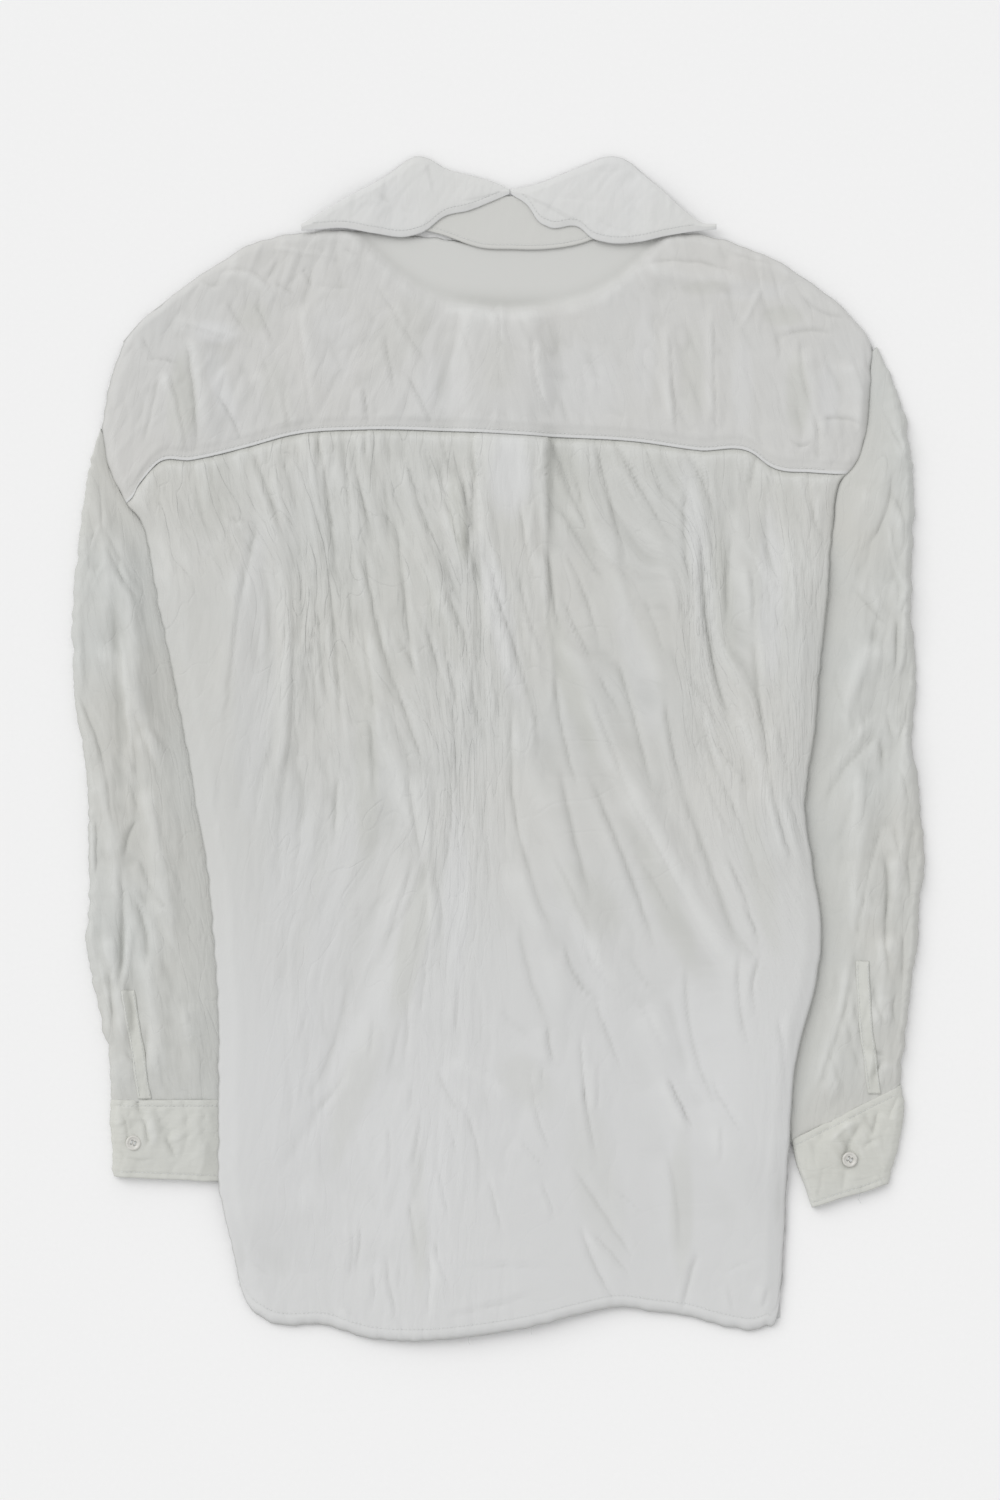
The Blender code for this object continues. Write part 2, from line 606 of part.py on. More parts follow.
def main():
    for obj in list(bpy.data.objects):
        bpy.data.objects.remove(obj, do_unlink=True)
    body_cloth = finish("body_cloth", (0.62, 0.64, 0.645), 0.9)
    sleeve_cloth = finish("sleeve_cloth", (0.58, 0.59, 0.56), 0.9)
    collar_cloth = finish("collar_cloth", (0.66, 0.67, 0.665), 0.85)
    shell = finish("button_shell", (0.7, 0.7, 0.67), 0.35)

    make_back(body_cloth)
    make_yoke(body_cloth)
    make_front("front_left", -1, body_cloth)
    make_front("front_right", 1, body_cloth)
    left = make_sleeve("sleeve_left", -1, SLEEVE_LEFT, SLEEVE_LEFT_FOLDS, sleeve_cloth)
    right = make_sleeve("sleeve_right", 1, SLEEVE_RIGHT, SLEEVE_RIGHT_FOLDS, sleeve_cloth)
    cuff_left = make_cuff("cuff_left", -1, CUFF_LEFT, sleeve_cloth)
    cuff_right = make_cuff("cuff_right", 1, CUFF_RIGHT, sleeve_cloth)
    bpy.context.view_layer.update()
    route_left = [Point(-267, -174), Point(-261, -210), Point(-256, -246)]
    route_right = [Point(262, -153), Point(264, -195), Point(272, -240)]
    make_strip("placket_left", left, route_left, 5.0, sleeve_cloth)
    make_strip("placket_right", right, route_right, 5.0, sleeve_cloth)
    make_stand(collar_cloth)
    make_wing("collar_left", WING_LEFT_TOP, WING_LEFT_LOW, collar_cloth)
    make_wing("collar_right", WING_RIGHT_TOP, WING_RIGHT_LOW, collar_cloth)
    make_cuff_button("button_cuff_left", -263, -284, cuff_left, shell)
    make_cuff_button("button_cuff_right", 253, -296, cuff_right, shell)
    for number in range(FRONT_BUTTONS):
        up = FRONT_BUTTON_TOP - number * FRONT_BUTTON_STEP
        make_button(f"button_front_{number + 1}", 0.0, up, 0.2, shell)


main()
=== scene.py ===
from collections import namedtuple

import bmesh
import bpy
import numpy as np
from mathutils import Matrix, Vector
from mathutils.bvhtree import BVHTree


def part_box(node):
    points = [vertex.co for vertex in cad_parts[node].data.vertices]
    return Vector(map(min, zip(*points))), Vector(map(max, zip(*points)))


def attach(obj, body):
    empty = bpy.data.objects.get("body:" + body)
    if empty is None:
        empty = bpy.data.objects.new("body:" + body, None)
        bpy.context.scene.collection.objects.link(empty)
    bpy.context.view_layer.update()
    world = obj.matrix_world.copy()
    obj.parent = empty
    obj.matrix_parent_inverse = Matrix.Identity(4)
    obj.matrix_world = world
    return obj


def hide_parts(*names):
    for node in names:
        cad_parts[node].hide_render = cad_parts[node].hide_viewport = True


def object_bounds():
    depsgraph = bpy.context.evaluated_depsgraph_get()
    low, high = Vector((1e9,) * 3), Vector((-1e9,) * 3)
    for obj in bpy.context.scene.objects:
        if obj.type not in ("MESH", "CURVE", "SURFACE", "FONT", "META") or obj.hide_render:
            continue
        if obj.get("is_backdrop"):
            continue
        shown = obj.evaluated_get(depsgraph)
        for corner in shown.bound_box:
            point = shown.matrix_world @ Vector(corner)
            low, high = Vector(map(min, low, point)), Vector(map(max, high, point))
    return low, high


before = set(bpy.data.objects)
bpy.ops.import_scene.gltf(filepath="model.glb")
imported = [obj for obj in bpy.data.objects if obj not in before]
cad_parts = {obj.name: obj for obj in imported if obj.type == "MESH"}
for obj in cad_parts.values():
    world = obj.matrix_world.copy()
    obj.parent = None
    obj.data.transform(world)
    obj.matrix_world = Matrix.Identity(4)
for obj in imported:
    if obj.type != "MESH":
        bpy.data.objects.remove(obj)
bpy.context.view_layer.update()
mm = 0.001  # sizes below are in millimetres, and meshes in metres

Level = namedtuple("Level", "up left right")
Point = namedtuple("Point", "across up")
Section = namedtuple("Section", "outerX outerY innerX innerY")
Fold = namedtuple("Fold", "x1 y1 x2 y2 bow width height")
Tuck = namedtuple("Tuck", "begins full ends gone")
# a crease runs through three points. deep is its groove, or below 0 a ridge. lip is how much higher one side
# stands: above 0 the side at the right of the run, and at 0 a little at the left
Crease = namedtuple("Crease", "x1 y1 xm ym x2 y2 wide deep lip")
Drift = namedtuple("Drift", "across shift")
# a soft patch of painted shade or painted highlight. share is how far it goes to the painted shade's warm grey,
# or below 0 to the painted highlight's bright white
ShadePatch = namedtuple("ShadePatch", "x y halfAcross halfUp lean share")

# how the layers lie, as in the solids
layers = {
    "wall": 1.8,
    "gap": 0.7,
    "seamGap": 0.4,
    "cloth": 0.65,
    "sleeveEdge": 4.4,
    "edgeRamp": 26.0,
    "buttonRaise": 2.9,
    "overlapHalf": 15.0,
    "overlapTop": 334.0,
    "hollowLift": 0.2,
    "clear": 0.15,
    "neckFoot": 352.0,
}
tuckLeft = Tuck(165, 120, -326, -376)
tuckRight = Tuck(165, 120, -278, -340)

bodySides = [Level(*row) for row in (
    (294, -270, 270), (273, -278, 269), (251, -283, 268), (231, -286, 266), (215, -284, 262),
    (204, -282, 257), (193, -277, 247), (179, -270, 243), (165, -259, 242), (149, -253, 240),
    (136, -251, 239), (107, -246, 237), (78, -240, 234), (49, -234, 231), (21, -229, 229),
    (-15, -222, 224), (-37, -219, 221), (-80, -211, 226), (-131, -206, 233), (-174, -203, 228),
    (-199, -202, 221), (-224, -202, 215), (-282, -202, 210), (-311, -202, 208), (-339, -197, 207),
    (-361, -192, 206), (-390, -186, 204),
)]
shoulder = [Point(*row) for row in (
    (-270, 294), (-258, 308), (-240, 323), (-222, 337), (-199, 352), (-183, 362), (-170, 367),
    (-143, 372), (-111, 374), (-75, 372), (-49, 369), (-21, 366), (8, 365), (37, 366), (66, 369),
    (91, 371), (120, 372), (145, 371), (159, 368), (177, 362), (201, 352), (224, 337), (243, 323),
    (257, 309), (265, 299), (270, 290),
)]
scoop = [Point(*row) for row in (
    (-121, 373), (-107, 364), (-89, 346), (-71, 330), (-49, 316), (-31, 310), (-6, 306),
    (15, 305), (41, 308), (66, 315), (87, 327), (105, 343), (122, 359), (132, 369),
)]
yokeSeam = [Point(*row) for row in (
    (-270, 177), (-264, 183), (-258, 193), (-247, 206), (-222, 209), (-179, 219), (-150, 227),
    (-96, 231), (-21, 229), (33, 226), (102, 222), (145, 216), (185, 213), (194, 206), (228, 200),
    (244, 199),
)]
hem = [Point(*row) for row in (
    (-186, -391), (-179, -404), (-170, -411), (-121, -417), (-100, -424), (-57, -427.3),
    (-21, -424), (23, -417), (59, -408), (87, -403), (109, -406), (138, -410), (163, -417),
    (192, -417), (201, -410), (204, -393),
)]
sleeveLeft = [Section(*row) for row in (
    (-287.5, 231, -284.7, 227), (-292, 216, -285.6, 211), (-296, 201, -281, 201), (-299, 179, -272, 180),
    (-301, 165, -262, 165), (-303, 149, -255, 149), (-306, 121, -250, 121), (-307.8, 93, -236, 93),
    (-307, 64, -222, 64), (-306, 35, -216, 35), (-301, 6, -211, 6), (-297, -23, -206, -23),
    (-296, -51, -201, -51), (-296, -80, -195, -80), (-295, -109, -193, -109),
    (-298, -138, -190, -138), (-293, -167, -188, -167), (-287, -195, -186, -195),
    (-281, -224, -186, -224), (-279.6, -255.2, -186, -255.2),
)]
sleeveRight = [Section(*row) for row in (
    (273.5, 290, 269.5, 286), (284, 266, 270.4, 260), (290, 251, 270, 244), (294, 237, 268, 229),
    (298, 208, 262, 208), (300, 179, 246, 179), (299, 150, 242, 149), (298, 121, 239.5, 121),
    (298, 93, 228, 93), (301, 64, 217, 64), (301, 35, 215, 35), (298, 6, 212, 3),
    (303, -23, 208, -30), (305, -51, 209, -62), (307.8, -80, 215, -95), (304, -109, 219, -127),
    (303, -138, 217, -159), (298, -167, 212, -192), (296, -188, 206, -224),
    (293, -213, 206, -257), (289.4, -244.2, 210.6, -284.2),
)]
cuffLeft = [Section(*row) for row in (
    (-280.3, -253.2, -186, -253.2), (-280, -270, -186, -271), (-279, -290, -187, -292),
    (-278, -309, -188, -313),
)]
cuffRight = [Section(*row) for row in (
    (290.3, -242.2, 211.2, -282.2), (293, -262, 215, -300), (288, -289, 221, -316),
    (281, -314, 226, -331),
)]
wingLeftTop = [Point(*row) for row in (
    (-142, 378), (-129, 386), (-107, 399), (-85, 411), (-75, 418), (-67, 424), (-60, 427.3),
    (-51, 426), (-39, 419), (-21, 414), (-4, 409), (8, 403.5),
)]
wingLeftLow = [Point(*row) for row in (
    (-142, 373), (-129, 374), (-114, 375), (-89, 371), (-65, 369), (-53, 373), (-40, 383),
    (-21, 388), (-6, 394), (8, 400),
)]
wingRightTop = [Point(*row) for row in (
    (9, 403.5), (26, 407), (44, 414), (66, 423), (77, 427), (86, 427), (95, 423), (105, 414),
    (120, 401), (134, 388), (147, 379), (157, 378),
)]
wingRightLow = [Point(*row) for row in (
    (9, 400), (23, 389), (28, 381), (36, 376), (59, 375), (67, 368), (76, 365), (102, 365),
    (120, 369), (138, 372), (157, 374),
)]
standLow = [Point(*row) for row in (
    (-62, 376), (-42, 371), (-12, 361), (10, 360), (33, 360), (62, 365), (84, 375),
)]
standTop = [Point(*row) for row in (
    (-62, 386), (-42, 391), (-12, 397), (10, 398.5), (33, 396), (62, 391), (84, 384),
)]

# broad folds, as the solids have them, the one low on the back a little lower
backFolds = [Fold(*row) for row in (
    (-176, 214, -160, -30, 16, 9, 4.0), (-143, 222, -107, -30, -2, 8, 3.5),
    (-121, 222, -80, 0, 3, 7, 3.0), (-71, 214, -35, 78, -3, 7, 3.0),
    (-96, 92, -49, -87, -6, 9, 4.0), (-78, -23, -143, -282, 8, 16, -2.6),
    (-49, -87, -121, -267, 6, 16, 3.0), (-42, 200, -20, 110, 0, 6, 2.5),
    (73, 215, 145, 78, 4, 8, 3.0), (37, 107, 186, -188, -8, 10, 4.5),
    (55, 193, 131, 6, 4, 8, 3.5), (138, 211, 217, -87, -12, 9, 4.6),
    (170, 179, 199, 35, -3, 8, 3.5), (8, 35, 102, -217, -5, 10, 3.5),
    (87, -23, 174, -174, 4, 9, 3.5), (8, -80, 51, -210, 4, 9, 3.0),
    (-35, -221, 15, -260, 3, 8, 1.2), (102, -181, 138, -325, 5, 12, 2.5),
    (-186, 136, -193, -37, -6, 14, 3.0), (145, -253, 188, -361, 5, 12, 2.0),
    (-143, -311, -57, -361, -6, 14, 2.0), (210, 179, 203, -8, 4, 9, 3.0),
)]
yokeFolds = [Fold(*row) for row in (
    (-240, 273, -224, 211, 2, 7, 3.5), (-222, 301, -211, 215, 3, 8, 4.0),
    (-235, 307, -179, 294, -2, 5, 3.0), (-197, 348, -157, 323, 3, 9, 3.5),
    (-175, 273, -147, 228, 2, 7, 3.0), (-143, 323, -134, 233, 0, 9, 2.5),
    (-78, 323, -42, 237, -3, 7, 2.0), (26, 294, 33, 240, 2, 6, 1.8),
    (122, 309, 125, 222, 0, 5, 2.5), (154, 323, 156, 222, 0, 5, 2.5),
    (102, 346, 188, 337, -3, 6, 2.6), (217, 291, 230, 208, 3, 8, 4.0),
    (253, 280, 262, 222, 2, 7, 3.0),
)]
sleeveLeftFolds = [Fold(*row) for row in (
    (-287, 193, -280, 78, 2, 7, 4.5), (-272, 164, -262, -8, 4, 8, 6.0),
    (-287, 78, -237, -23, 4, 8, 4.5), (-290, -8, -272, -138, 3, 7, 5.0),
    (-251, -23, -233, -152, -3, 9, 5.0), (-283, -131, -269, -224, 2, 6, 5.5),
    (-255, -145, -244, -246, 2, 8, 5.0), (-222, -181, -215, -249, 0, 8, 3.5),
)]
sleeveRightFolds = [Fold(*row) for row in (
    (278, 251, 293, 200, 2, 6, 4.5), (267, 193, 242, 107, -3, 9, 5.0),
    (289, 179, 293, 64, 2, 6, 4.5), (275, 78, 239, 6, -3, 9, 5.0),
    (293, 21, 282, -109, 3, 7, 5.5), (260, -8, 250, -152, 3, 9, 5.0),
    (282, -131, 275, -217, -2, 7, 5.0), (253, -152, 217, -267, 4, 7, 5.5),
)]

# the back's creases. Those that start above the seam come out from under the yoke
backCreases = [Crease(*row) for row in (
    # left of the box pleat, from the yoke down
    (-188, 236, -166, 186, -151, 137, 5, 2.6, 1.4), (-151, 142, -149, 58, -159, -52, 5, 2.8, -1.8),
    (-150, 246, -141, 192, -131, 138, 4, 1.8, 0.8), (-132, 146, -130, 84, -121, 14, 4, 2.6, -1.6),
    (-124, 142, -116, 66, -113, -22, 4, 2.0, 1.4), (-142, 232, -133, 176, -120, 124, 3, 1.4, 0.6),
    (-135, 246, -124, 190, -117, 120, 3.5, 2.2, 0.9), (-114, 246, -109, 190, -104, 128, 3.5, 2.2, 0.8),
    (-108, 118, -107, 92, -103, 68, 3, 1.4, 0), (-105, 212, -97, 176, -86, 118, 3.5, 1.8, 0.8),
    (-98, 252, -96, 222, -94, 196, 3.5, 3.0, 0.6), (-98, 156, -89, 98, -74, 42, 4, 2.8, 1.2),
    (-78, 58, -63, 16, -50, -22, 4, 2.8, 1.4), (-100, 98, -93, 48, -88, -2, 3.5, 2.0, -1.0),
    (-93, 26, -91, -10, -89, -42, 3, 1.8, 0), (-75, 170, -69, 126, -60, 40, 4.5, 3.0, 1.4),
    (-62, 112, -46, 68, -28, 4, 3, 1.9, 0.8), (-70, 222, -58, 180, -40, 132, 3.5, 2.0, 0.7),
    (-51, 250, -39, 214, -32, 188, 2.5, 1.3, 0), (-44, 206, -35, 166, -21, 130, 3, 1.8, -0.6),
    (-43, 138, -34, 118, -22, 92, 6, 2.2, -0.8), (-41, 118, -32, 98, -21, 66, 5, 2.8, -0.8),
    (-41, 80, -34, 52, -27, 20, 3.5, 2.4, 0.5), (-28, 204, -22, 164, -22, 128, 5, 4.6, 0.6),
    (-20, 62, -18, 34, -12, 4, 3, 1.4, 0), (-84, 200, -81, 176, -80, 150, 2.5, 1.0, 0),
    (-58, 74, -52, 44, -49, 12, 2.5, 1.2, 0), (-36, 30, -33, 6, -32, -18, 2.5, 1.4, 0),
    (-172, 170, -180, 132, -186, 96, 5, 1.6, 0.8), (-181, 150, -192, 66, -199, -4, 4, 1.4, -0.7),
    (-199, 178, -186, 164, -176, 172, 4, 1.2, 0),
    # on the pleat, its two edges, and the hollow at its left
    (-17.4, 232, -15.4, 208, -12.2, 190, 2.4, -2.4, 0), (-12, 191, -7, 146, -1, 94, 7, -2.2, 0),
    (-1, 94, 5, 70, 12, 44, 7, -1.7, 0), (-7.5, 150, -1, 112, 5, 86, 3, 2.0, 0.8),
    (-25, 202, -22, 174, -18, 146, 6, 3.4, -0.8), (-16, 206, -19.5, 174, -18, 146, 3, 2.4, -1.0),
    (-22.6, 126, -20.4, 131, -18.2, 136, 2.5, -1.2, 0), (36, 232, 32, 214, 26, 190, 2.6, -2.0, 0),
    (36, 92, 37.5, 56, 36.5, 18, 4.5, -2.0, 0), (42.5, 110, 58, 77, 80, 41, 2.8, -1.8, 0),
    (-8, 126, 10, 74, 30, 6, 4, 2.2, -1.0), (15, 180, 19, 150, 28, 116, 3, 1.9, 0.5),
    (12, 134, 20, 98, 37, 56, 3, 1.6, 0), (-5, 70, -2, 42, 0, 8, 3.5, 1.8, 0),
    (9, 32, 10, 4, 10, -42, 3.5, 1.8, 0.6), (-14, 128, -7, 104, 6, 74, 2.5, 1.1, 0),
    (22, 34, 27, 8, 26, -12, 2.5, 1.3, 0),
    # right of the pleat
    (33, 146, 37, 116, 45, 76, 4, 2.6, -1.4), (33, 240, 50, 186, 77, 138, 5, 2.6, -1.2),
    (40, 178, 58, 148, 78, 114, 4, 1.8, 0), (60, 248, 76, 192, 92, 126, 4, 2.2, -0.8),
    (70, 244, 102, 188, 129, 142, 3.5, 2.0, 0.6), (93, 238, 112, 198, 121, 168, 3, 1.4, 0),
    (136, 200, 133, 164, 139, 106, 4, 1.7, -0.9), (146, 168, 147, 110, 171, 0, 5, 4.0, -1.4),
    (127, 226, 146, 194, 158, 160, 5, 2.4, 1.2), (169, 158, 165, 122, 167, 84, 4, 2.0, 0.6),
    (179, 134, 183, 104, 182, 76, 4, 2.0, -0.8), (184, 92, 188, 34, 200, -42, 5.5, 2.8, 1.4),
    (187, 226, 184, 206, 179, 182, 4, 1.8, 0), (195, 200, 192, 150, 199, 116, 7, 1.8, 0),
    (228, 186, 228, 164, 236, 148, 4, 2.2, 0.6), (211, 160, 214, 122, 215, 78, 3, 1.4, 0),
    (175, 150, 190, 128, 208, 96, 4, -1.4, 0), (200, 22, 203, 2, 209, -26, 3.5, 1.6, 0),
    (176, 26, 182, 10, 186, -10, 3, 1.7, 0), (42, 116, 64, 68, 95, 12, 3.5, 1.8, 0.8),
    (43, 148, 62, 108, 73, 66, 3.5, 1.8, -0.8), (83, 72, 96, 28, 113, -42, 4, 2.2, 0.8),
    (119, 40, 125, -2, 138, -42, 4, 2.2, -0.8), (134, 54, 150, 30, 163, 2, 3.5, 1.6, 0),
    (145, 34, 152, 0, 168, -38, 4, 2.0, 0.8), (153, 8, 166, -10, 184, -34, 3, 1.4, 0),
    (40, 60, 46, 14, 61, -40, 4, 2.2, 1.0), (62, 46, 76, 12, 94, -38, 3.5, 1.7, 0),
    (53, 204, 60, 176, 70, 152, 3, 1.4, 0), (88, 156, 92, 112, 110, 74, 12, 1.4, 0),
    (104, 112, 112, 90, 122, 60, 3, 1.0, 0.6),
    # middle and lower right
    (8, -14, 13, -50, 24, -94, 4, 2.2, 0.7), (17, -68, 26, -104, 42, -142, 6, 2.4, -0.8),
    (42, -10, 52, -58, 69, -120, 6, 2.8, -1.0), (60, -12, 91, -84, 117, -162, 5, 3.0, -1.4),
    (84, -16, 114, -70, 148, -138, 4, 2.2, 0.9), (99, -76, 113, -98, 129, -128, 3, 1.2, 0.6),
    (124, -14, 151, -84, 175, -156, 7, 3.2, -1.2), (174, -140, 172, -176, 185, -230, 4, 2.4, -1.0),
    (162, -74, 179, -116, 190, -154, 4, 2.6, -1.2), (190, -146, 182, -172, 188, -200, 3.5, 2.4, -0.8),
    (147, -18, 157, -44, 172, -68, 3, 1.7, 0), (159, -20, 178, -64, 191, -108, 3.5, 2.0, 0.8),
    (193, -16, 203, -58, 214, -92, 5, 3.6, -1.2), (202, -20, 219, -66, 235, -134, 4.5, 2.8, 0.8),
    (201, -186, 204, -212, 210, -250, 4, 2.4, 0.6), (35, -68, 49, -96, 73, -150, 3.5, 1.6, 0),
    (60, -134, 70, -158, 93, -182, 3.5, 1.5, 0.6), (94, -148, 101, -163, 116, -178, 3, 1.1, 0),
    (47, -138, 54, -164, 75, -184, 4, 2.4, 0), (68, -178, 78, -204, 91, -238, 4, 2.2, 0.8),
    (14, -122, 20, -158, 39, -206, 5, 2.0, -0.8), (34, -198, 36, -214, 40, -230, 4.5, 3.0, 0),
    (-40, -217, -14, -230, 16, -247, 5, 1.1, -0.4), (-6, -184, 15, -203, 38, -224, 6, 0.8, 0),
    (59, -200, 61, -236, 65, -274, 3.5, 2.2, 0.8), (71, -224, 71, -244, 72, -268, 3, 1.3, 0),
    (23, -230, 26, -252, 33, -276, 3.5, 1.8, 0.7), (30, -228, 31, -238, 32, -248, 2.5, 1.4, 0),
    (101, -180, 112, -202, 125, -226, 4, 1.7, 0.9), (135, -150, 136, -196, 166, -274, 4, 2.0, -0.9),
    (119, -234, 130, -256, 142, -280, 4, 2.2, -0.8), (119, -178, 127, -206, 137, -242, 12, 1.7, 0),
    # middle and lower left
    (-115, -14, -117, -44, -118, -72, 4, 2.6, 1.2), (-66, -16, -60, -50, -55, -84, 4, 2.8, 1.6),
    (-52, -20, -50, -84, -46, -152, 4, -1.8, 0), (-48, -92, -42, -116, -44, -142, 4, 1.9, 0),
    (-38, -16, -35, -52, -42, -92, 3.5, 1.7, 0), (-61, -74, -70, -104, -86, -152, 4, 1.6, -1.2),
    (-60, -106, -69, -118, -78, -132, 3, 1.2, 0), (-18, -84, -26, -126, -36, -168, 6, -1.3, 0),
    (-30, -164, -30, -186, -32, -208, 3.5, 1.7, 0), (-66, -176, -65, -200, -69, -230, 4, 1.9, 0.7),
    (-90, -192, -91, -206, -95, -226, 4, 1.9, 0), (-51, -154, -54, -176, -58, -200, 4, 1.7, 0.8),
    (-70, -190, -75, -214, -82, -238, 3, 1.2, 0), (-45, -228, -37, -246, -23, -268, 4, 2.0, 0.6),
    (-135, -180, -141, -198, -145, -218, 3, 1.0, 0), (-110, -160, -118, -206, -146, -262, 5, 0.8, -1.2),
    (-106, -228, -117, -246, -136, -266, 4, 1.4, 1.0), (-62, -240, -64, -254, -66, -268, 3, 1.4, 0),
    # the hem's third
    (-81, -266, -79, -294, -82, -320, 3, 1.2, 0), (-57, -256, -59, -280, -65, -308, 4, 2.2, 0),
    (-65, -322, -61, -344, -58, -366, 4, 2.0, 0.8), (-46, -296, -40, -320, -35, -346, 3, 1.3, 0),
    (-41, -258, -33, -278, -28, -302, 3, 1.2, 0.6), (-34, -244, -20, -270, -13, -308, 4, 2.2, 0.8),
    (-9, -304, -2, -328, 3, -354, 3.5, 2.0, 0.7), (25, -258, 30, -274, 39, -294, 3, 1.6, 0),
    (14, -278, 25, -294, 39, -306, 3, 1.4, 0), (30, -310, 35, -324, 42, -340, 3, 1.6, 0),
    (27, -234, 29, -250, 35, -266, 3, 1.4, 0), (61, -234, 64, -266, 72, -302, 4, 2.2, -0.6),
    (51, -296, 76, -334, 103, -376, 5.5, 2.4, 1.2), (81, -316, 93, -326, 106, -338, 3, 1.1, 0),
    (58, -340, 70, -372, 89, -406, 5, 3.0, 0.8), (62, -344, 79, -362, 100, -388, 4, 2.0, 0),
    (120, -234, 130, -256, 141, -278, 4, 2.0, 0), (118, -288, 126, -320, 128, -368, 5, 0.8, -1.4),
    (143, -360, 136, -386, 130, -410, 5, 2.6, 0), (152, -234, 165, -260, 183, -286, 4, 1.9, 0.6),
    (160, -270, 160, -284, 160, -300, 3, 1.6, 0), (194, -388, 192, -396, 188, -404, 4, 2.2, 0),
    (165, -386, 167, -396, 170, -408, 3, 1.3, 0), (-106, -340, -106, -364, -109, -386, 4, 1.8, 0),
    (-99, -340, -101, -360, -104, -380, 3, 1.7, 0), (-81, -362, -78, -392, -70, -420, 4, 2.2, 0),
    (-71, -370, -72, -382, -73, -394, 3, 1.1, 0), (-49, -358, -49, -390, -51, -420, 3.5, 1.4, 1.8),
    (-48, -351, -42, -372, -33, -394, 3, 1.5, 0), (-36, -374, 4, -371, 42, -374, 4, 0.9, 0.7),
    (-42, -408, 0, -399, 32, -389, 4, 1.5, 0.6), (-114, -400, -106, -407, -98, -412, 3, 1.2, 0),
    (-91, -374, -90, -388, -90, -402, 3, 1.3, 0), (162, -378, 178, -371, 194, -367, 3, 1.0, 0),
    (-203, -292, -196, -294, -187, -299, 4, 1.2, 0), (-182, -367, -174, -374, -163, -381, 4, 1.0, 0),
    (-113, -236, -132, -262, -166, -318, 12, 1.4, 0),
)]
yokeCreases = [Crease(*row) for row in (
    # left shoulder
    (-237, 308, -211, 301, -182, 292, 4, 1.2, 1.2), (-226, 299, -220, 262, -217, 214, 4, 3.0, 0.8),
    (-240, 278, -232, 250, -225, 208, 4, 2.2, -1.0), (-242, 278, -249, 246, -257, 214, 3.5, 1.6, 0.8),
    (-254, 281, -242, 280, -228, 276, 3.5, 1.2, 0), (-204, 258, -192, 238, -180, 208, 4, 2.0, 0.6),
    (-204, 341, -180, 343, -160, 322, 4.5, 1.6, -1.4), (-176, 322, -168, 304, -161, 287, 3.5, 1.6, 0),
    (-146, 330, -140, 280, -132, 222, 4, 1.3, 1.1), (-162, 335, -154, 331, -145, 324, 3.5, 1.4, 0),
    (-142, 348, -138, 339, -134, 329, 3, 1.3, 0), (-134, 334, -118, 332, -103, 332, 3, 0.9, 0),
    (-156, 262, -152, 240, -147, 216, 4, 1.9, 0.6), (-99, 264, -96, 246, -94, 222, 3.5, 2.2, 0),
    (-83, 300, -79, 276, -74, 250, 3, 1.6, 0), (-198, 324, -187, 306, -177, 292, 5, 1.5, 0),
    (-169, 362, -142, 358, -114, 354, 4, -1.0, 0), (-112, 360, -106, 357, -100, 353, 3, 1.2, 0),
    (-216, 340, -205, 333, -196, 334, 4, 1.1, 0), (-262, 300, -254, 290, -250, 274, 4, 1.0, 0),
    (-188, 280, -182, 262, -183, 244, 8, 1.3, 0), (-170, 296, -166, 270, -158, 250, 4, 0.9, 0.7),
    (-126, 300, -118, 282, -112, 262, 4, 0.7, 0),
    # round the neckline
    (-90, 340, -70, 306, -46, 271, 4, 1.7, 0.6), (-69, 273, -57, 252, -45, 222, 3.5, 1.8, 0),
    (-106, 333, -96, 316, -83, 298, 8, 0.9, 0), (-28, 306, -22, 288, -16, 266, 3, 1.1, 0),
    (-9, 324, 4, 302, 12, 285, 3, 1.2, 0), (4, 292, 7, 276, 10, 260, 3, 0.9, 0),
    (26, 302, 26, 270, 41, 234, 3, 1.8, 0.5), (68, 270, 78, 264, 89, 256, 3, 0.7, 0),
    (82, 333, 82, 325, 82, 316, 3, 0.9, 0), (96, 348, 102, 337, 109, 323, 3, 1.3, 0.6),
    # right shoulder
    (123, 308, 125, 264, 129, 214, 3.5, 2.0, -0.8), (155, 321, 155, 276, 157, 214, 3.5, 2.0, -0.8),
    (97, 347, 140, 350, 182, 337, 4, 1.5, -1.0), (191, 337, 183, 319, 171, 299, 4, -1.4, 0),
    (200, 297, 222, 302, 246, 299, 4, 1.3, 1.0), (217, 298, 219, 268, 227, 240, 5, 2.2, -1.2),
    (228, 242, 231, 222, 231, 202, 4, 1.7, 0.6), (230, 236, 242, 239, 266, 231, 4, 1.4, 1.2),
    (215, 333, 228, 318, 255, 311, 4, 1.2, 0.9), (208, 228, 216, 218, 229, 223, 4, 1.6, 0),
    (174, 288, 182, 262, 192, 232, 3.5, 0.9, 0), (147, 341, 160, 331, 172, 323, 8, 0.9, 0),
    (165, 358, 186, 351, 207, 347, 3.5, 1.1, 0), (198, 300, 202, 288, 201, 276, 3, 1.0, 0),
    (140, 258, 146, 240, 150, 226, 4, 0.8, 0), (236, 280, 244, 262, 250, 250, 5, 1.1, 0),
)]
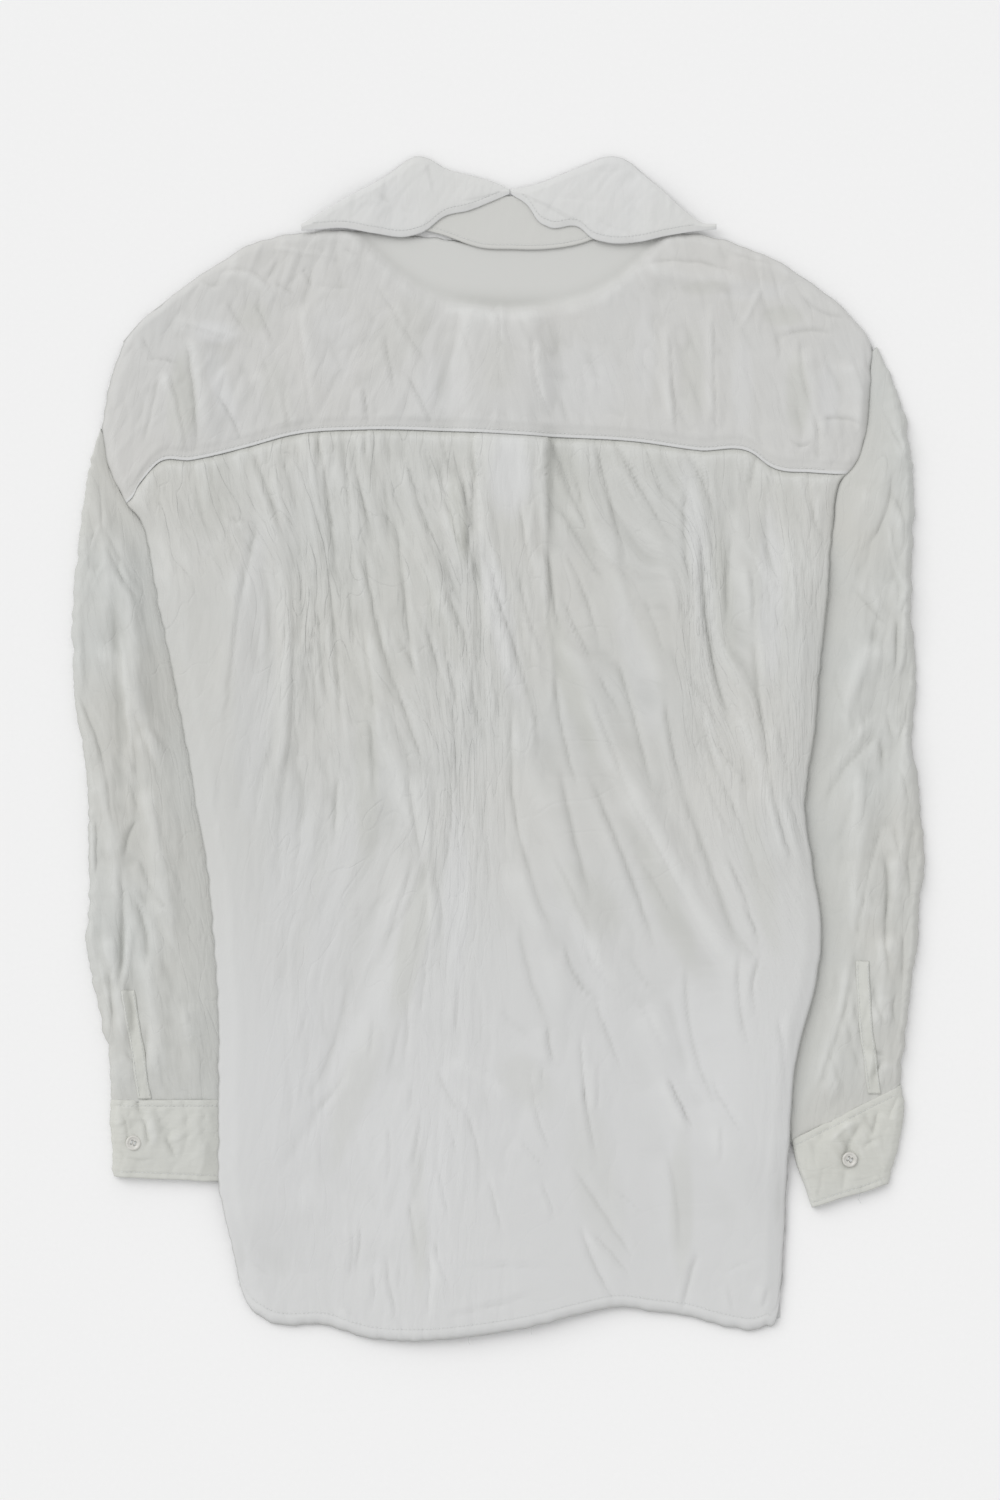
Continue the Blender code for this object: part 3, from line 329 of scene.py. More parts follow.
sleeveLeftCreases = [Crease(*row) for row in (
    (-290, 200, -287, 178, -286, 156, 4, 2.2, 0), (-286, 166, -270, 134, -244, 102, 5, 3.2, 1.2),
    (-284, 150, -271, 122, -250, 96, 3.5, 2.6, 0), (-280, 132, -264, 110, -254, 86, 4, 2.2, -0.8),
    (-286, 164, -292, 148, -300, 130, 4, -1.6, 0), (-290, 158, -294, 146, -297, 136, 3.5, 1.8, 0),
    (-283, 136, -291, 120, -302, 102, 4, -1.8, 0), (-288, 128, -294, 116, -299, 106, 3.5, 1.8, 0),
    (-280, 128, -276, 60, -272, -44, 11, 3.4, 0), (-276, 96, -267, 50, -268, -40, 4, -2.2, 0),
    (-252, 90, -248, 66, -240, 40, 6, 2.6, 0), (-268, 50, -257, 12, -241, -26, 4, 2.6, 0.8),
    (-264, 40, -252, 4, -246, -14, 3, 1.8, 0), (-253, 20, -242, 2, -226, -12, 6, 3.4, -0.8),
    (-250, 26, -240, 12, -228, 0, 3.5, -1.4, 0), (-307, 46, -292, 12, -281, -30, 4, 2.6, -1.2),
    (-282, -20, -281, -36, -279, -52, 3, 1.6, 0), (-267, -14, -264, -30, -259, -46, 3, 1.8, 0.8),
    (-262, -24, -262, -40, -263, -56, 7, 2.0, 0), (-260, -48, -267, -62, -271, -82, 4, 3.0, 0),
    (-272, -80, -270, -112, -274, -182, 6, 4.6, 0.8), (-267, -124, -267, -152, -273, -178, 4, -2.4, 0),
    (-262, -106, -254, -132, -253, -164, 5, 3.8, 0.8), (-264, -96, -258, -112, -253, -124, 3, -1.6, 0),
    (-259, -78, -254, -94, -248, -108, 4, 2.4, 0), (-249, -106, -242, -112, -237, -118, 3, 1.4, 0),
    (-234, -88, -231, -98, -229, -108, 4, 1.6, 0), (-294, -36, -293, -66, -293, -98, 4, -1.8, 0),
    (-290, -48, -290, -70, -290, -94, 3.5, 2.2, 0), (-287, -148, -283, -172, -278, -196, 4, -2.0, 0),
    (-288, -168, -287, -190, -286, -216, 4, 2.4, 0), (-280, -150, -279, -180, -276, -206, 4, 2.2, 0),
    (-270, -168, -265, -190, -266, -212, 6, 4.0, 0), (-254, -196, -253, -214, -255, -232, 4, 2.0, 0.6),
    (-243, -130, -224, -164, -203, -196, 3, 1.2, 0.6), (-241, -154, -237, -168, -232, -182, 6, 2.0, 0),
    (-226, -186, -217, -199, -205, -206, 6, 2.0, 0), (-270, -216, -262, -228, -252, -236, 4, 2.0, 0),
    (-266, -228, -260, -240, -256, -252, 5, 2.2, 0), (-214, -86, -212, -116, -210, -150, 6, 1.4, 0),
    (-224, -32, -218, -60, -212, -84, 5, 1.6, 0), (-300, 90, -298, 60, -299, 30, 5, 1.2, 0),
    (-264, 6, -262, -10, -262, -22, 4, 1.4, 0), (-247, -30, -243, -56, -238, -84, 5, 1.6, 0.6),
    (-230, -40, -229, -66, -226, -90, 4, 1.3, 0), (-248, -118, -243, -136, -240, -152, 4, 1.2, 0),
    (-232, -212, -230, -230, -228, -250, 4, 1.4, 0), (-246, -208, -243, -228, -242, -250, 4, 1.4, 0),
    (-216, -214, -213, -232, -211, -250, 4, 1.4, 0),
)]
sleeveRightCreases = [Crease(*row) for row in (
    (270, 268, 280, 238, 297, 204, 4, 2.6, 0.8), (273, 256, 280, 232, 288, 214, 3, -1.4, 0),
    (269, 199, 275, 209, 280, 196, 3.5, 1.8, 0), (282, 202, 279, 172, 258, 138, 4, 2.0, -1.0),
    (282, 186, 291, 164, 286, 130, 7, 3.0, 0), (280, 168, 284, 140, 296, 108, 4, -2.0, 0),
    (286, 122, 288, 112, 286, 100, 4, 1.8, 0), (297, 112, 292, 104, 289, 94, 3.5, 1.8, 0),
    (237, 116, 242, 112, 248, 106, 6, 3.0, 0), (231, 108, 233, 98, 236, 86, 4, 2.8, 0),
    (252, 120, 268, 102, 284, 84, 4, 1.8, 0.8), (270, 104, 266, 62, 250, 22, 12, 3.8, 0),
    (242, 62, 245, 42, 252, 20, 3, 1.8, 0.8), (292, 98, 291, 70, 287, 46, 4, -2.0, 0),
    (287, 96, 286, 74, 285, 50, 3.5, 2.4, 0), (279, 30, 282, 16, 286, 2, 4, 2.0, 0.8),
    (294, 36, 291, 16, 285, 0, 4, 2.0, 0), (277, 12, 249, -16, 228, -58, 5, 2.4, 1.0),
    (277, 28, 250, -2, 226, -46, 9, -2.4, 0), (274, 8, 276, -8, 277, -22, 5, 2.6, 0),
    (252, 30, 256, 14, 258, 2, 5, 1.6, 0), (262, 26, 263, 10, 260, 0, 4, 1.5, 0),
    (278, -74, 281, -100, 279, -128, 5, 4.2, 0.6), (280, -104, 278, -138, 283, -172, 4.5, 3.0, 0),
    (278, -52, 269, -80, 261, -128, 3.5, 1.8, 1.0), (264, -104, 259, -130, 255, -156, 3.5, 1.8, 0.8),
    (252, -86, 249, -102, 246, -118, 3, 1.2, 0), (292, -78, 295, -94, 296, -112, 5, 2.4, 0),
    (285, -54, 286, -66, 287, -78, 4.5, 2.4, 0), (288, -12, 294, -30, 295, -48, 4, 1.8, 0.6),
    (259, -146, 248, -196, 216, -278, 7, 4.2, 1.2), (256, -170, 258, -196, 262, -210, 4, 1.8, 0),
    (269, -168, 272, -186, 279, -202, 4, 2.4, 0), (286, -176, 283, -190, 286, -200, 4, 2.0, 0),
    (265, -214, 273, -220, 281, -222, 5, 2.8, 0), (268, -240, 274, -230, 281, -221, 5, 2.8, 0),
    (288, -224, 289, -234, 290, -244, 5, 2.2, 0), (235, -170, 226, -208, 213, -278, 3.5, 1.9, 0.8),
    (242, -142, 242, -162, 244, -182, 4, 1.6, 0), (222, -234, 218, -254, 214, -272, 3.5, 1.8, 0),
    (240, -20, 236, -40, 232, -60, 5, 1.4, 0), (256, -24, 250, -50, 240, -76, 5, 1.6, 0),
    (266, -20, 262, -46, 254, -70, 5, 1.5, 0), (237, -66, 236, -92, 232, -120, 5, 1.4, 0),
    (230, 78, 232, 58, 233, 38, 4, 1.6, 0), (268, 150, 262, 132, 252, 122, 6, 1.2, 0),
    (290, -130, 291, -150, 290, -168, 4, 1.6, 0), (250, -190, 256, -216, 262, -238, 4, 1.6, 0.6),
    (236, -214, 244, -236, 250, -250, 5, 1.5, 0), (228, -128, 226, -150, 222, -176, 4, 1.4, 0),
)]
cuffLeftCreases = [Crease(*row) for row in (
    (-262, -252, -259, -262, -256, -268, 6, 3.2, 0), (-258, -264, -253, -276, -253, -290, 4, 3.4, 0.6),
    (-242, -246, -238, -252, -233, -260, 3.5, 1.8, 0), (-241, -278, -236, -288, -231, -300, 4, 2.0, 0.8),
    (-214, -258, -210, -270, -204, -286, 3, 1.2, 0.6), (-272, -262, -268, -276, -270, -292, 4, 1.8, 0),
    (-276, -286, -262, -296, -246, -292, 5, 1.0, 0.8), (-228, -250, -226, -264, -224, -280, 4, 1.0, 0),
    (-248, -258, -245, -270, -244, -282, 4, 1.4, 0), (-246, -262, -240, -280, -232, -298, 9, 2.2, -0.6),
    (-270, -256, -265, -270, -262, -286, 8, 2.2, 0), (-216, -262, -208, -284, -198, -300, 8, 1.4, 0.4),
)]
cuffRightCreases = [Crease(*row) for row in (
    (224, -296, 242, -268, 262, -246, 9, 1.8, 0), (262, -268, 253, -282, 248, -300, 7, 2.8, 0),
    (238, -284, 248, -274, 261, -267, 4, -1.8, 0), (274, -260, 272, -270, 270, -282, 4, 2.8, 0.6),
    (281, -270, 285, -258, 290, -247, 4, 1.6, 0), (262, -290, 268, -284, 276, -282, 4, 1.8, 0),
    (234, -300, 232, -312, 230, -324, 4, 0.8, 0), (226, -276, 240, -268, 256, -262, 8, 2.2, -0.8),
    (246, -276, 250, -290, 246, -312, 11, 3.0, 0), (262, -262, 266, -270, 272, -280, 8, 2.6, -0.5),
    (250, -304, 249, -312, 248, -322, 4, 1.2, 0.6),
)]
# the fronts lie on the surface, so their creases are shallow ones that rise from it
frontCreases = [Crease(*row) for row in (
    (120, 330, 112, 250, 128, 168, 5, 0.8, 0), (150, 340, 158, 270, 150, 200, 4, 0.7, 0),
    (70, 296, 76, 220, 66, 140, 4, 0.7, 0), (196, 320, 186, 240, 200, 160, 5, 0.8, 0),
    (92, 190, 108, 90, 98, -20, 5, 0.9, 0), (160, 150, 148, 60, 168, -40, 4, 0.8, 0),
    (196, 110, 176, 20, 182, -80, 5, 0.8, 0), (52, 60, 60, -30, 50, -120, 4, 0.7, 0),
    (78, -40, 96, -120, 88, -210, 5, 0.9, 0), (132, -20, 120, -100, 142, -190, 4, 0.7, 0),
    (170, -120, 152, -200, 164, -290, 5, 0.8, 0), (60, -170, 72, -250, 62, -330, 4, 0.7, 0),
    (110, -230, 98, -300, 112, -380, 5, 0.8, 0), (150, -300, 158, -350, 148, -396, 4, 0.7, 0),
    (40, 250, 90, 232, 140, 246, 4, 0.6, 0), (60, -280, 110, -262, 160, -276, 4, 0.6, 0),
)]

# painted shade (share above 0) and painted highlight (share below 0) on the back's hollows and facets
bodyShadePatches = [ShadePatch(*row) for row in (
    (8, 196, 19, 36, 0, -1.2), (2, 92, 11, 66, 0.22, -0.9), (-29, 164, 7, 34, 0.12, 1.6),
    (52, 184, 20, 42, 0.3, 0.7), (52, 48, 11, 66, 0.3, 1.0), (-96, 116, 62, 96, 0, 0.55),
    (-40, 96, 12, 40, 0.3, 0.7), (163, 106, 9, 62, 0.1, 0.9), (140, 170, 8, 60, 0.1, -0.7),
    (196, 120, 10, 80, 0, -0.8), (-176, 60, 18, 120, 0, -0.7), (-130, 200, 30, 18, 0, -0.4),
    (-150, -250, 34, 90, 0, -0.7), (-70, -300, 50, 60, 0, -0.4), (-62, -140, 12, 70, -0.2, 0.8),
    (-30, -110, 11, 80, 0, -0.8), (60, -150, 14, 60, 0.4, -0.6), (120, -110, 13, 60, 0.4, 0.7),
    (-58, -330, 8, 70, 0.02, 0.7), (-42, -330, 9, 76, 0.02, -0.6), (-104, -250, 16, 60, -0.3, 0.5),
    (20, -240, 22, 24, 0.5, 0.5), (64, -110, 26, 30, 0.4, 0.6), (-150, -90, 20, 60, -0.1, -0.5),
    (188, -90, 12, 60, 0.2, 0.6), (150, -220, 26, 60, 0.3, -0.5), (70, -310, 20, 70, 0.2, 0.4),
    (132, -330, 10, 60, 0, 0.6), (-94, -20, 10, 70, 0, 0.8), (-122, -120, 14, 90, -0.2, -0.6),
    (100, 60, 12, 60, 0.3, -0.6), (-206, 180, 16, 30, 0, 0.5), (0, -380, 60, 12, 0, -0.4),
)]
# painted shade (share above 0) and painted highlight (share below 0) on the yoke's hollows and facets
yokeShadePatches = [ShadePatch(*row) for row in (
    (-228, 250, 12, 36, 0, 1.1), (-200, 262, 9, 34, 0.3, -0.9), (-206, 300, 20, 10, 0, -0.9),
    (-176, 312, 14, 12, 0, 0.8), (-160, 256, 12, 30, 0.2, 0.6), (-120, 290, 20, 40, 0, -0.5),
    (-70, 300, 22, 34, -0.5, 0.5), (-40, 262, 20, 28, 0, -0.5), (0, 276, 14, 24, 0, 0.4),
    (60, 262, 34, 34, 0, -0.5), (140, 270, 10, 40, 0, 0.7), (106, 282, 10, 40, 0, -0.5),
    (176, 262, 10, 40, 0, -0.6), (216, 256, 10, 36, 0, 1.0), (238, 256, 9, 30, 0, -0.7),
    (180, 330, 30, 9, 0, -0.6), (206, 312, 16, 9, 0, 0.9), (150, 332, 20, 6, 0, 0.7),
)]

# how far the crinkle has leaned sideways from the yoke, by height down the back
drifts = {
    215: ((-270, 0), (270, 0)),
    100: ((-260, 10), (-180, 28), (-150, 30), (-125, 18), (-30, 25), (8, 4), (100, 47), (138, 60), (154, 16),
          (192, 20), (235, 0)),
    -30: ((-220, 0), (-160, 18), (-107, 36), (-53, 54), (8, 8), (80, 60), (131, 90), (188, 50), (222, 10)),
    -190: ((-200, 0), (-110, 10), (-60, 30), (0, 20), (51, 50), (102, 70), (186, 150), (220, 130)),
    -425: ((-190, -20), (-60, 10), (0, 10), (80, 70), (200, 150)),
}


def readCurve(table, x, key=0, value=1):
    # a smooth curve through a table's rows
    rows = np.array(sorted([row[key], row[value]] for row in table), float)
    keys, values = rows[:, 0], rows[:, 1]
    slopes = np.gradient(values, keys)
    x = np.clip(x, keys[0], keys[-1])
    row = np.clip(np.searchsorted(keys, x, side="right") - 1, 0, len(keys) - 2)
    wide = keys[row + 1] - keys[row]
    t = (x - keys[row]) / wide
    bendIn = slopes[row] * wide * t * (1 - t) ** 2
    bendOut = slopes[row + 1] * wide * t**2 * (1 - t)
    ease = t * t * (3 - 2 * t)
    return values[row] * (1 - ease) + values[row + 1] * ease + bendIn - bendOut


def step(x):
    x = np.clip(x, 0.0, 1.0)
    return x * x * (3 - 2 * x)


def lerp(low, high, t):
    return low + (high - low) * t


def cornerTurn(column, row, seed):
    # a fixed angle for each corner of a lattice
    mixed = (column.astype(np.int64) * 73856093) ^ (row.astype(np.int64) * 19349663) ^ (seed * 83492791)
    mixed = (mixed ^ (mixed >> 13)) * 1274126177
    return ((mixed ^ (mixed >> 16)) & 0xFFFF) / 65536 * 2 * np.pi


def softNoise(x, y, seed):
    # smooth noise of about -0.7 to 0.7, with lumps one unit wide
    column, row = np.floor(x), np.floor(y)
    insideX, insideY = x - column, y - row
    total = 0
    for stepX in (0, 1):
        for stepY in (0, 1):
            turn = cornerTurn(column + stepX, row + stepY, seed)
            slope = np.cos(turn) * (insideX - stepX) + np.sin(turn) * (insideY - stepY)
            shareX = step(insideX) if stepX else 1 - step(insideX)
            shareY = step(insideY) if stepY else 1 - step(insideY)
            total = total + slope * shareX * shareY
    return total


def sharpLines(noise, power):
    # thin lines of height 1 where the noise crosses zero
    return (1 - np.minimum(np.abs(noise) * 2.3, 1)) ** power


def crinkle(across, along, seed, wide, long):
    # uneven creases that run along, some of them sunk and some of them raised
    patches = step(0.5 + 1.3 * softNoise(across / (3.1 * wide), along / (0.8 * long), seed + 7))
    other = step(0.5 + 1.6 * softNoise(across / (1.9 * wide), along / (0.5 * long), seed + 17))
    across = across + 2.2 * softNoise(across / 30, along / 17, seed + 19)
    wander = along + 14 * softNoise(across / 40, along / 60, seed + 11)
    sunk = sharpLines(softNoise(across / wide, wander / long, seed), 1.6)
    raised = sharpLines(softNoise(across / (0.8 * wide), wander / (0.75 * long), seed + 3), 2.2)
    small = sharpLines(softNoise(across / (0.5 * wide), wander / (0.4 * long), seed + 5), 1.8)
    aslant, down = (across + 0.5 * along) / wide, (along - 0.3 * across) / (0.5 * long)
    tilted = sharpLines(softNoise(aslant, down, seed + 13), 2)
    broad = softNoise(across / (2.2 * wide), wander / (1.1 * long), seed + 9)
    lines = (0.3 + 0.7 * patches) * (0.8 * raised - 1.2 * sunk) - (0.25 + 0.75 * other) * 0.65 * small
    return lines + 0.5 * (1 - patches) * tilted + 0.9 * broad + 0.25


def bodyLeft(y):
    return readCurve(bodySides, y, 0, 1)


def bodyRight(y):
    return readCurve(bodySides, y, 0, 2)


def foldHeight(folds, x, y):
    total = np.zeros_like(np.asarray(x, float) + y)
    for fold in folds:
        runX, runY = fold.x2 - fold.x1, fold.y2 - fold.y1
        length = np.hypot(runX, runY)
        s = ((x - fold.x1) * runX + (y - fold.y1) * runY) / length**2
        away = ((y - fold.y1) * runX - (x - fold.x1) * runY) / length - fold.bow * 4 * s * (1 - s)
        total += fold.height * np.exp(-((away / fold.width) ** 2)) * step(s / 0.15) * step((1 - s) / 0.3)
    return total


def creaseHeight(creases, x, y):
    # a groove along each crease, with a lip on one side that dies away from it
    total = np.zeros_like(np.asarray(x, float) + y)
    for crease in creases:
        runX, runY = crease.x2 - crease.x1, crease.y2 - crease.y1
        length = np.hypot(runX, runY)
        middle = ((crease.xm - crease.x1) * runX + (crease.ym - crease.y1) * runY) / length**2
        bow = ((crease.ym - crease.y1) * runX - (crease.xm - crease.x1) * runY) / length
        bow = bow / (4 * middle * (1 - middle))
        s = ((x - crease.x1) * runX + (y - crease.y1) * runY) / length**2
        away = ((y - crease.y1) * runX - (x - crease.x1) * runY) / length - bow * 4 * s * (1 - s)
        away = away + 0.9 * softNoise(s * length / 11 + crease.x1, crease.y1 + 0 * s, 21)
        fade = step(s / 0.25) * step((1 - s) / 0.35)
        half = crease.wide / 2
        groove = 0.8 * crease.deep * np.exp(-np.abs(away / half) ** 1.4)
        groove = groove - 0.2 * crease.deep * np.exp(-((away / (1.9 * crease.wide)) ** 2))
        stands = max(abs(crease.lip), 0.45 * crease.deep)
        toward = away * (np.sign(crease.lip) or -1)
        lip = stands * step((toward + 0.7 * half) / (1.2 * half)) * np.exp(-np.maximum(toward, 0) / 13)
        total += fade * (lip - groove)
    return total


# painted shade or painted highlight, summed from the soft patches
def patchShadeAndHighlight(patches, x, y):
    total = 0 * x
    for patch in patches:
        up = (y - patch.y) / patch.halfUp
        across = (x - patch.x + patch.lean * (y - patch.y)) / patch.halfAcross
        ragged = 0.35 * softNoise(x / 9 + patch.x, y / 26, 171)
        total = total + patch.share * step(1.15 - across**2 - up**2 + ragged)
    return total


def seamShadeHemHighlight(x, y):
    # painted shade on the gathers just under the yoke, which are in its shade, and a painted highlight that
    # makes the hem's turned edge pale
    below = readCurve(yokeSeam, x) - y
    besidePleat = step((np.abs(x - 8) - 20) / 8)
    shaded = 0.7 * (1 - step(below / 9)) + 0.5 * (1 - step(below / 70))
    return shaded * besidePleat * offSides(x, y, 40) - 0.9 * (1 - step((y - readCurve(hem, x)) / 2.5))


def tucked(y, tuck):
    below = step((tuck.begins - y) / (tuck.begins - tuck.full))
    return below * step((y - tuck.gone) / (tuck.ends - tuck.gone))


def sideLift(x, y, ramp=layers["edgeRamp"]):
    # how high the sleeves lift the body's sides
    left = tucked(y, tuckLeft) * (1 - step((x - bodyLeft(y) - 20) / ramp))
    right = tucked(y, tuckRight) * (1 - step((bodyRight(y) - x - 20) / ramp))
    return (layers["sleeveEdge"] + layers["gap"]) * (left + right)


def placketLift(x, y, ramp=26.0):
    # how high the front buttons lift the overlap
    belowNeck = step((layers["overlapTop"] - y) / 20)
    return layers["buttonRaise"] * belowNeck * (1 - step((np.abs(x) - layers["overlapHalf"] - 2) / ramp))


def secondFront(x, y, ramp=22.0):
    beside = step((np.abs(x) - layers["overlapHalf"] - 5) / ramp)
    return (layers["wall"] + layers["seamGap"]) * (1 - beside) * step((layers["overlapTop"] - 8 - y) / 12)


def inScoop(x, y):
    ends = step((x - scoop[0].across - 3) / 14) * step((scoop[-1].across - 4 - x) / 14)
    return step((y - readCurve(scoop, x) - 3) / 16) * ends


def underBack(x, y):
    fronts = layers["wall"] + sideLift(x, y) + placketLift(x, y) + secondFront(x, y)
    return fronts * (1 - inScoop(x, y)) + layers["hollowLift"]


def boxPleat(x, y):
    down = (readCurve(yokeSeam, x) - y) / (readCurve(yokeSeam, x) + 10)
    left, right = -17 + 9 * down, 35 + 2 * down
    band = step((x - left) / 2.0) * step((right - x) / 2.0)
    gap = np.exp(-(((x - left + 3) / 2.2) ** 2))
    gap = gap + 0.7 * np.exp(-(((x - right - 3) / 2.2) ** 2)) * step((0.4 - down) / 0.3)
    return (2.8 * band - 1.3 * gap) * step((1 - down) / 0.8)


def seamLine(u):
    # the yoke seam's height at share u of the body's width
    x = lerp(-270.0, 244.0, u)
    for _ in range(8):
        y = readCurve(yokeSeam, x)
        x = lerp(bodyLeft(y), bodyRight(y), u)
    return readCurve(yokeSeam, x)


def rounded(away, reach):
    # 0 at an edge and 1 from reach inward, as a quarter circle
    return np.sqrt(1 - (1 - np.clip(away / reach, 0, 1)) ** 2)


def offSides(x, y, wide):
    return step((x - bodyLeft(y)) / wide) * step((bodyRight(y) - x) / wide)


def softFloor(high, bend=0.8):
    # keeps a height above nothing, with no hard corner
    return np.where(high > bend, high, bend * np.exp(np.minimum(high - bend, 0) / bend))


def flowAcross(x, y):
    # where a thread at (x, y) leaves the yoke, so that the crinkle follows the cloth
    heights = sorted(drifts)
    shifts = [readCurve([Drift(*row) for row in drifts[up]], x) for up in heights]
    place = np.clip(np.interp(y, heights, range(len(heights))), 0, len(heights) - 1.0001)
    row = np.floor(place).astype(int)
    shifts = np.array(shifts)
    low = np.take_along_axis(shifts, row[None], 0)[0]
    high = np.take_along_axis(shifts, row[None] + 1, 0)[0]
    return x - lerp(low, high, step(place - row))


backCloth = {"columns": 262, "rows": 184, "puff": 3.0, "crinkle": 1.15, "folds": 0.62, "stitch": 9.5}


def backLively(x, y):
    # most crinkled in the gathers left of the pleat, calm beside the left armhole and towards the hem
    gathers = 0.85 + 0.35 * step((20 - x) / 60)
    down = lerp(1.0, 0.3, step((90 - y) / 330))
    calmBand = 1.3 * np.exp(-(((x + 202) / 34) ** 2)) * step((150 - y) / 60)
    pleatTop = np.exp(-(((x - 8) / 18) ** 2)) * step((y - 120) / 60)
    return gathers * down * (1 - 0.6 * np.clip(calmBand + 0.7 * pleatTop, 0, 1))


def backHeight(x, y):
    seam = readCurve(yokeSeam, x)
    fromSeam = step((seam - y - 0.5) / 6)
    fromHem = 0.25 + 0.75 * step((y - readCurve(hem, x)) / 7)
    inside = 0.25 + 0.75 * offSides(x, y, 15)
    lively = backLively(x, y)
    noise = backCloth["crinkle"] * lively * crinkle(flowAcross(x, y), y, 4, 13, 105)
    creases = creaseHeight(backCreases, x, y) * lerp(1.2, 0.78, step((90 - y) / 300))
    loft = backCloth["puff"] + backCloth["folds"] * foldHeight(backFolds, x, y) + creases + noise
    stitched = 0.4 * np.exp(-(((y - readCurve(hem, x) - backCloth["stitch"]) / 1.3) ** 2))
    loft = fromSeam * (inside * fromHem * (loft + 0.9) + boxPleat(x, y)) - stitched
    # the back spans the hollows beside the sleeves and beside the overlap of the fronts
    bridge = sideLift(x, y, 75.0) - sideLift(x, y)
    overlap = placketLift(x, y, 130.0) + secondFront(x, y, 120.0) - placketLift(x, y) - secondFront(x, y)
    bridge = bridge + overlap * step((seam - y - 10) / 120)
    lowest = underBack(x, y) + bridge + layers["gap"] + layers["cloth"] + layers["clear"]
    fromSide = np.minimum(x - bodyLeft(y), bodyRight(y) - x)
    joined = lerp(1.3, 2.8, np.where(x < 0, tucked(y, tuckLeft), tucked(y, tuckRight)))
    drop = joined * (1 - rounded(fromSide, 3.4)) + 1.8 * (1 - rounded(y - readCurve(hem, x), 3.2))
    underYoke = 0.3 * (1 - step((seam - y - 1) / 2.5))
    return lowest + softFloor(loft + 0.35) - drop - underYoke


yokeCloth = {
    "columns": 330, "rows": 104, "puff": 1.5, "crinkle": 0.9, "folds": 0.6, "lean": 0.28, "stitch": 1.9,
}


def yokeFlow(x, y):
    # the yoke's crinkle spreads outwards up the shoulders
    return x + yokeCloth["lean"] * np.sign(x) * (y - 260)


def yokeHeight(x, y):
    below = readCurve(shoulder, x) - y
    inside = (0.2 + 0.8 * step(below / 7)) * (0.2 + 0.8 * offSides(x, y, 8))
    neck = inScoop(x, y)
    share = 1 - 0.93 * neck
    noise = yokeCloth["crinkle"] * crinkle(yokeFlow(x, y), y, 31, 21, 60)
    folds = yokeCloth["folds"] * foldHeight(yokeFolds, x, y)
    loft = yokeCloth["puff"] + folds + creaseHeight(yokeCreases, x, y) + noise
    aboveSeam = y - readCurve(yokeSeam, x)
    loft = loft * (0.15 + 0.85 * step((aboveSeam - 1) / 10)) + 0.1 * np.exp(-(((aboveSeam - 8.5) / 2.2) ** 2))
    loft = loft - 0.18 * np.exp(-(((aboveSeam - yokeCloth["stitch"]) / 0.8) ** 2))
    lowest = underBack(x, y) + layers["gap"] + layers["cloth"] + layers["clear"]
    fromSide = np.minimum(x - bodyLeft(y), bodyRight(y) - x)
    foldOver = np.maximum(2.2 * (1 - rounded(below, 4)), 1.9 * (1 - rounded(fromSide, 4)))
    atSeam = step((readCurve(yokeSeam, x) + 7 - y) / 5)
    return lowest + softFloor(inside * share * (loft + 0.7) + 0.35) - foldOver + 0.28 * atSeam


def wingFloor(x, y):
    overEdge = y - readCurve(shoulder, x)
    rest = yokeHeight(x, np.minimum(y, readCurve(shoulder, x) - 6))
    high = np.maximum(rest, standHeight(x, y) * step((y - layers["neckFoot"]) / 6)) + layers["hollowLift"]
    return high * (1 - 0.55 * step((overEdge - 26) / 26))


def standHeight(x, y):
    up = np.clip((y - layers["neckFoot"] - 8) / 38, 0, 1)
    yokeEdge = underBack(x, np.full_like(y, layers["neckFoot"])) + layers["gap"] + layers["wall"]
    return yokeEdge + layers["seamGap"] + 0.1 + layers["wall"] - 1.2 * up


def spread(count, dense=0.0):
    # places from 0 to 1, closer together at both ends
    t = np.linspace(0, 1, count)
    return t - dense * np.sin(2 * np.pi * t) / (2 * np.pi)


def slopes(x, y, high):
    # how the height changes per millimetre along X and along Y, on a bent grid
    acrossX, downX = np.gradient(x, axis=1), np.gradient(x, axis=0)
    acrossY, downY = np.gradient(y, axis=1), np.gradient(y, axis=0)
    acrossHigh, downHigh = np.gradient(high, axis=1), np.gradient(high, axis=0)
    area = acrossX * downY - downX * acrossY
    area = np.where(np.abs(area) < 1e-6, 1e-6, area)
    slopeX = (acrossHigh * downY - downHigh * acrossY) / area
    slopeY = (acrossX * downHigh - downX * acrossHigh) / area
    return np.clip(slopeX, -2, 2), np.clip(slopeY, -2, 2)


def blurred(values, times):
    for _ in range(times):
        wide = np.pad(values, 1, mode="edge")
        values = (wide[1:-1, :-2] + wide[1:-1, 2:] + wide[:-2, 1:-1] + wide[2:, 1:-1]) / 4
    return values


def sharpen(x, y, high, keep, reach=0.7):
    # slides points downhill, so that grooves close up and folds lean over them
    slopeX, slopeY = slopes(x, y, high)
    return x - reach * keep * slopeX, y - reach * keep * slopeY


def wavySides(x, y, u, deep, seed):
    return x + deep * softNoise(y / 9, 0 * y + 3 * np.sign(u - 0.5), seed) * np.abs(2 * u - 1) ** 12


def meshFrom(work, name):
    data = bpy.data.meshes.new(name)
    work.to_mesh(data)
    work.free()
    return data


def addObject(name, data):
    obj = bpy.data.objects.new(name, data)
    bpy.context.scene.collection.objects.link(obj)
    return obj


